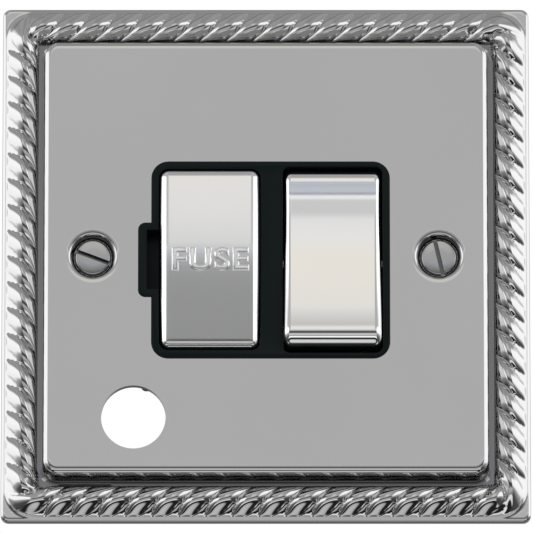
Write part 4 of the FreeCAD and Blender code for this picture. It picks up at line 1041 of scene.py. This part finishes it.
@dataclass
class Metalwork:
    """Terminals, strips, contacts, the fuse, springs and small screws."""

    turn_step: float = 37.0
    clamp_shank_r: float = 1.6
    headed_shank_r: float = 1.05
    head_height: float = 1.3

    def build(self) -> None:
        """Dress each strip and block, and make the screws, the fuse and the springs."""
        strips = named("_terminal", "fuse_jaw", "supply_bracket", "contact_arm", "live_link", "load_strip")
        for node in (*strips, "earth_strap"):
            dress_node(node, BRASS_BRIGHT)
        headed = named("module_screw", "housing_screw", "cord_clamp_screw", "earth_strap_screw")
        clamps = [node for node in named("_clamp_screw") if node not in headed]
        for index, node in enumerate(clamps):
            SlottedScrew(node, BRASS_BRIGHT, self.turn_step * index, self.clamp_shank_r).build()
        for index, node in enumerate(headed):
            SlottedScrew(node, STEEL_ZINC, self.turn_step * index, self.headed_shank_r,
                         self.head_height).build()
        dress_node("rocker_pivot", STEEL_ZINC)
        CartridgeFuse().build()
        for pole in ("live", "neutral"):
            dress_node("moving_contact_" + pole, SILVER_GREY)
            dress_node("fixed_contact_" + pole, SILVER_GREY)
            PlungerSpring(pole).build()
        LOG.info("metalwork: %d strips, %d screws", len(strips), len(clamps) + len(headed))


CREAM = (0.84, 0.80, 0.73)
SIDE_BANDS = [
    (0.0, 0.03), (0.24, 0.10), (0.40, 0.50), (0.47, 1.3), (0.60, 1.4), (0.72, 1.4), (0.80, 0.45),
    (0.92, 0.38),
]
BACK_BANDS = [(0.0, 0.05), (0.2, 0.16), (0.42, 0.12), (0.55, 0.38), (1.0, 0.38)]
ABOVE_BANDS = [(0.0, CREAM), (0.25, (0.80, 0.78, 0.74)), (0.45, 0.42), (0.6, 0.36), (1.0, 0.36)]
BELOW_BANDS = [
    (0.0, 0.70), (0.05, 0.55), (0.09, 0.02), (0.22, 0.02), (0.27, 1.05), (0.38, 1.05), (0.44, 0.30),
    (0.62, 0.55), (0.80, 0.60), (0.88, 0.16), (0.97, 0.14), (1.0, 0.09),
]
FIELD_DEGREES = [
    (-20.0, 0.05), (-14.0, 0.12), (-11.0, 0.24), (-8.5, 0.38), (-6.8, 0.42), (-5.5, (0.47, 0.49, 0.53)),
    (-3.3, (0.54, 0.58, 0.66)), (-2.9, (0.20, 0.21, 0.26)), (-2.4, (0.88, 0.89, 0.90)), (-1.9, 0.90),
    (-1.4, 0.61), (1.6, 0.61), (3.2, (0.78, 0.78, 0.775)), (7.5, (0.82, 0.81, 0.79)), (12.0, CREAM),
]
DIM_DEGREES = [(1.0, 0.61), (2.4, 0.52), (9.0, 0.48), (16.0, 0.44)]


@dataclass
class Surroundings:
    """The world: white to the camera, even light on dull surfaces, soft boxes and dark cards in mirrors."""

    tree: Tree
    elevation: float
    front_zone: Pair = (-0.15, 0.5)
    side_zone: Pair = (0.50, 0.62)
    back_zone: Pair = (0.45, 0.62)
    dim_zone: Pair = (0.12, 0.21)
    soft_grey: float = 0.9
    soft_strength: float = 0.85

    def build(self) -> None:
        """Colour the directions in front, beside and behind, and show each kind of ray its own."""
        place = self.tree.nodes.new("ShaderNodeTexCoord")
        split = self.tree.nodes.new("ShaderNodeSeparateXYZ")
        self.tree.links.new(place.outputs["Generated"], split.inputs[0])
        x, y, z = split.outputs
        beside = self.calc("ABSOLUTE", x)
        side = self.banded(z, -1.0, 1.0, SIDE_BANDS)
        back = self.banded(z, -1.0, 1.0, BACK_BANDS)
        mirrored = self.mix(self.between(beside, *self.side_zone), self.front(beside, z), side)
        self.show(self.mix(self.between(y, *self.back_zone), mirrored, back))

    def up(self, above: float) -> float:
        """Upward share of a direction so many degrees above the one that the field mirrors."""
        return math.sin(math.radians(above - self.elevation))

    def front(self, beside: Socket, z: Socket) -> Socket:
        """What the mirrors show in front, from the floor to straight above.

        Args:
            beside: how far to the left or right a direction points.
            z: how far up it points.

        Returns:
            The colour's socket.
        """
        low, high = self.front_zone
        field, dim = ([((self.up(above) - low) / (high - low), shade) for above, shade in bands]
                      for bands in (FIELD_DEGREES, DIM_DEGREES))
        overhead = self.banded(z, high, 1.0, ABOVE_BANDS)
        shown = self.mix(self.calc("GREATER_THAN", z, high), self.banded(z, low, high, field), overhead)
        over_field = self.calc("GREATER_THAN", z, self.up(DIM_DEGREES[0][0]))
        share = self.calc("MULTIPLY", self.between(beside, *self.dim_zone), over_field)
        shown = self.mix(share, shown, self.banded(z, low, high, dim))
        return self.mix(self.calc("LESS_THAN", z, low), shown, self.banded(z, -1.0, low, BELOW_BANDS))

    def show(self, mirrored: Socket) -> None:
        """Show the mirrored colour to glossy rays, white to the camera and grey to all others."""
        link = self.tree.links.new
        rays = self.tree.nodes.new("ShaderNodeLightPath")
        glossy = self.tree.nodes.new("ShaderNodeBackground")
        link(mirrored, glossy.inputs["Color"])
        grey = (self.soft_grey, self.soft_grey, self.soft_grey, 1.0)
        soft = node_of(self.tree, "ShaderNodeBackground", Color=grey, Strength=self.soft_strength)
        white = node_of(self.tree, "ShaderNodeBackground", Color=(1.0, 1.0, 1.0, 1.0))
        seen = soft.outputs[0]
        for kind, shader in (("Is Glossy Ray", glossy), ("Is Camera Ray", white)):
            seen = mixed_shader(self.tree, rays.outputs[kind], seen, shader.outputs[0])
        link(seen, self.tree.nodes.new("ShaderNodeOutputWorld").inputs[0])

    def banded(self, value: Socket, low: float, high: float, stops: Stops) -> Socket:
        """Return the socket of a ramp's colour at a value's place between low and high."""
        ramp = ramp_of(self.tree, stops)
        self.tree.links.new(self.between(value, low, high, "LINEAR"), ramp.inputs[0])
        return ramp.outputs[0]

    def between(self, value: Socket, low: float, high: float, kind: str = "SMOOTHSTEP") -> Socket:
        """Return the socket of a value's place between low and high, from 0 to 1."""
        made = node_of(self.tree, "ShaderNodeMapRange", From_Min=low, From_Max=high, interpolation_type=kind)
        self.tree.links.new(value, made.inputs["Value"])
        return made.outputs[0]

    def calc(self, operation: str, value: Socket, other: Socket | float = 0.0) -> Socket:
        """Return the result's socket of a sum or comparison."""
        made = node_of(self.tree, "ShaderNodeMath", operation=operation)
        self.tree.links.new(value, made.inputs[0])
        if isinstance(other, float):
            made.inputs[1].default_value = other
        else:
            self.tree.links.new(other, made.inputs[1])
        return made.outputs[0]

    def mix(self, share: Socket, first: Socket, second: Socket) -> Socket:
        """Return the socket of two colours mixed, with the share of the second."""
        made = node_of(self.tree, "ShaderNodeMix", data_type="RGBA")
        for socket, index in ((share, 0), (first, 6), (second, 7)):
            self.tree.links.new(socket, made.inputs[index])
        return made.outputs[2]


@dataclass
class Studio:
    """Pale floor, soft light, the surroundings that the chrome mirrors, and the camera."""

    distance: float = 2.0
    elevation: float = -14.0
    frame_width: float = 93.0
    aim: Triple = (0.12, -4.0, -0.9)
    sensor: float = 36.0
    clip: Pair = (0.1, 20.0)
    floor_half: float = 4000.0
    floor_z: float = -900.0
    floor_grey: float = 0.9
    lamp_place: Triple = (-0.35, -0.9, 0.9)
    lamp_size: Pair = (0.8, 0.5)
    lamp_watts: float = 3.0

    def build(self) -> None:
        """Build the studio."""
        world = bpy.data.worlds.new("studio")
        bpy.context.scene.world = world
        world.use_nodes = True
        world.node_tree.nodes.clear()
        Surroundings(world.node_tree, self.elevation).build()
        self.build_floor()
        self.build_lamp()
        self.build_camera()

    def build_floor(self) -> None:
        """A pale floor well below the unit, seen from above only."""
        bm = bmesh.new()
        bmesh.ops.create_grid(bm, x_segments=1, y_segments=1, size=self.floor_half)
        move(bm, (0, 0, self.floor_z))
        floor = object_of(bm, "floor")
        floor.visible_glossy = False
        paint = bpy.data.materials.new("floor")
        paint.use_nodes = True
        tree = paint.node_tree
        tree.nodes.clear()
        grey = (self.floor_grey, self.floor_grey, self.floor_grey, 1.0)
        matt = node_of(tree, "ShaderNodeBsdfDiffuse", Color=grey)
        clear = tree.nodes.new("ShaderNodeBsdfTransparent")
        side = tree.nodes.new("ShaderNodeNewGeometry")
        seen = mixed_shader(tree, side.outputs["Backfacing"], matt.outputs[0], clear.outputs[0])
        tree.links.new(seen, tree.nodes.new("ShaderNodeOutputMaterial").inputs[0])
        floor.data.materials.append(paint)

    def build_lamp(self) -> None:
        """A soft lamp above and in front that shapes the dull surfaces."""
        lamp = bpy.data.lights.new("soft_box", "AREA")
        lamp.shape = "RECTANGLE"
        lamp.size, lamp.size_y = self.lamp_size
        lamp.energy = self.lamp_watts
        aimed("soft_box", lamp, Vector(self.lamp_place), Vector(self.lamp_place)).visible_glossy = False

    def build_camera(self) -> None:
        """A long lens in front of the unit, a little below it."""
        camera = bpy.data.cameras.new("camera")
        camera.sensor_width = self.sensor
        camera.lens = self.sensor * self.distance / (self.frame_width * MM)
        camera.clip_start, camera.clip_end = self.clip
        lift = math.radians(self.elevation)
        back = Vector((0, -math.cos(lift), math.sin(lift)))
        bpy.context.scene.camera = aimed("camera", camera, Vector(self.aim) * MM + back * self.distance, back)
        bpy.context.scene.view_settings.view_transform = "Standard"


def main() -> None:
    """Build every sub-assembly in order."""
    logging.basicConfig(level=logging.INFO)
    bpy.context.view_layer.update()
    RopePlate().build()
    FuseCap().build()
    RockerCap().build()
    for side, x, turn in FIXING_SCREWS:
        FixingScrew(side, x, turn).build()
    Mouldings().build()
    Metalwork().build()
    Studio().build()
    LOG.info("sizes written")


if __name__ == "__main__":
    main()
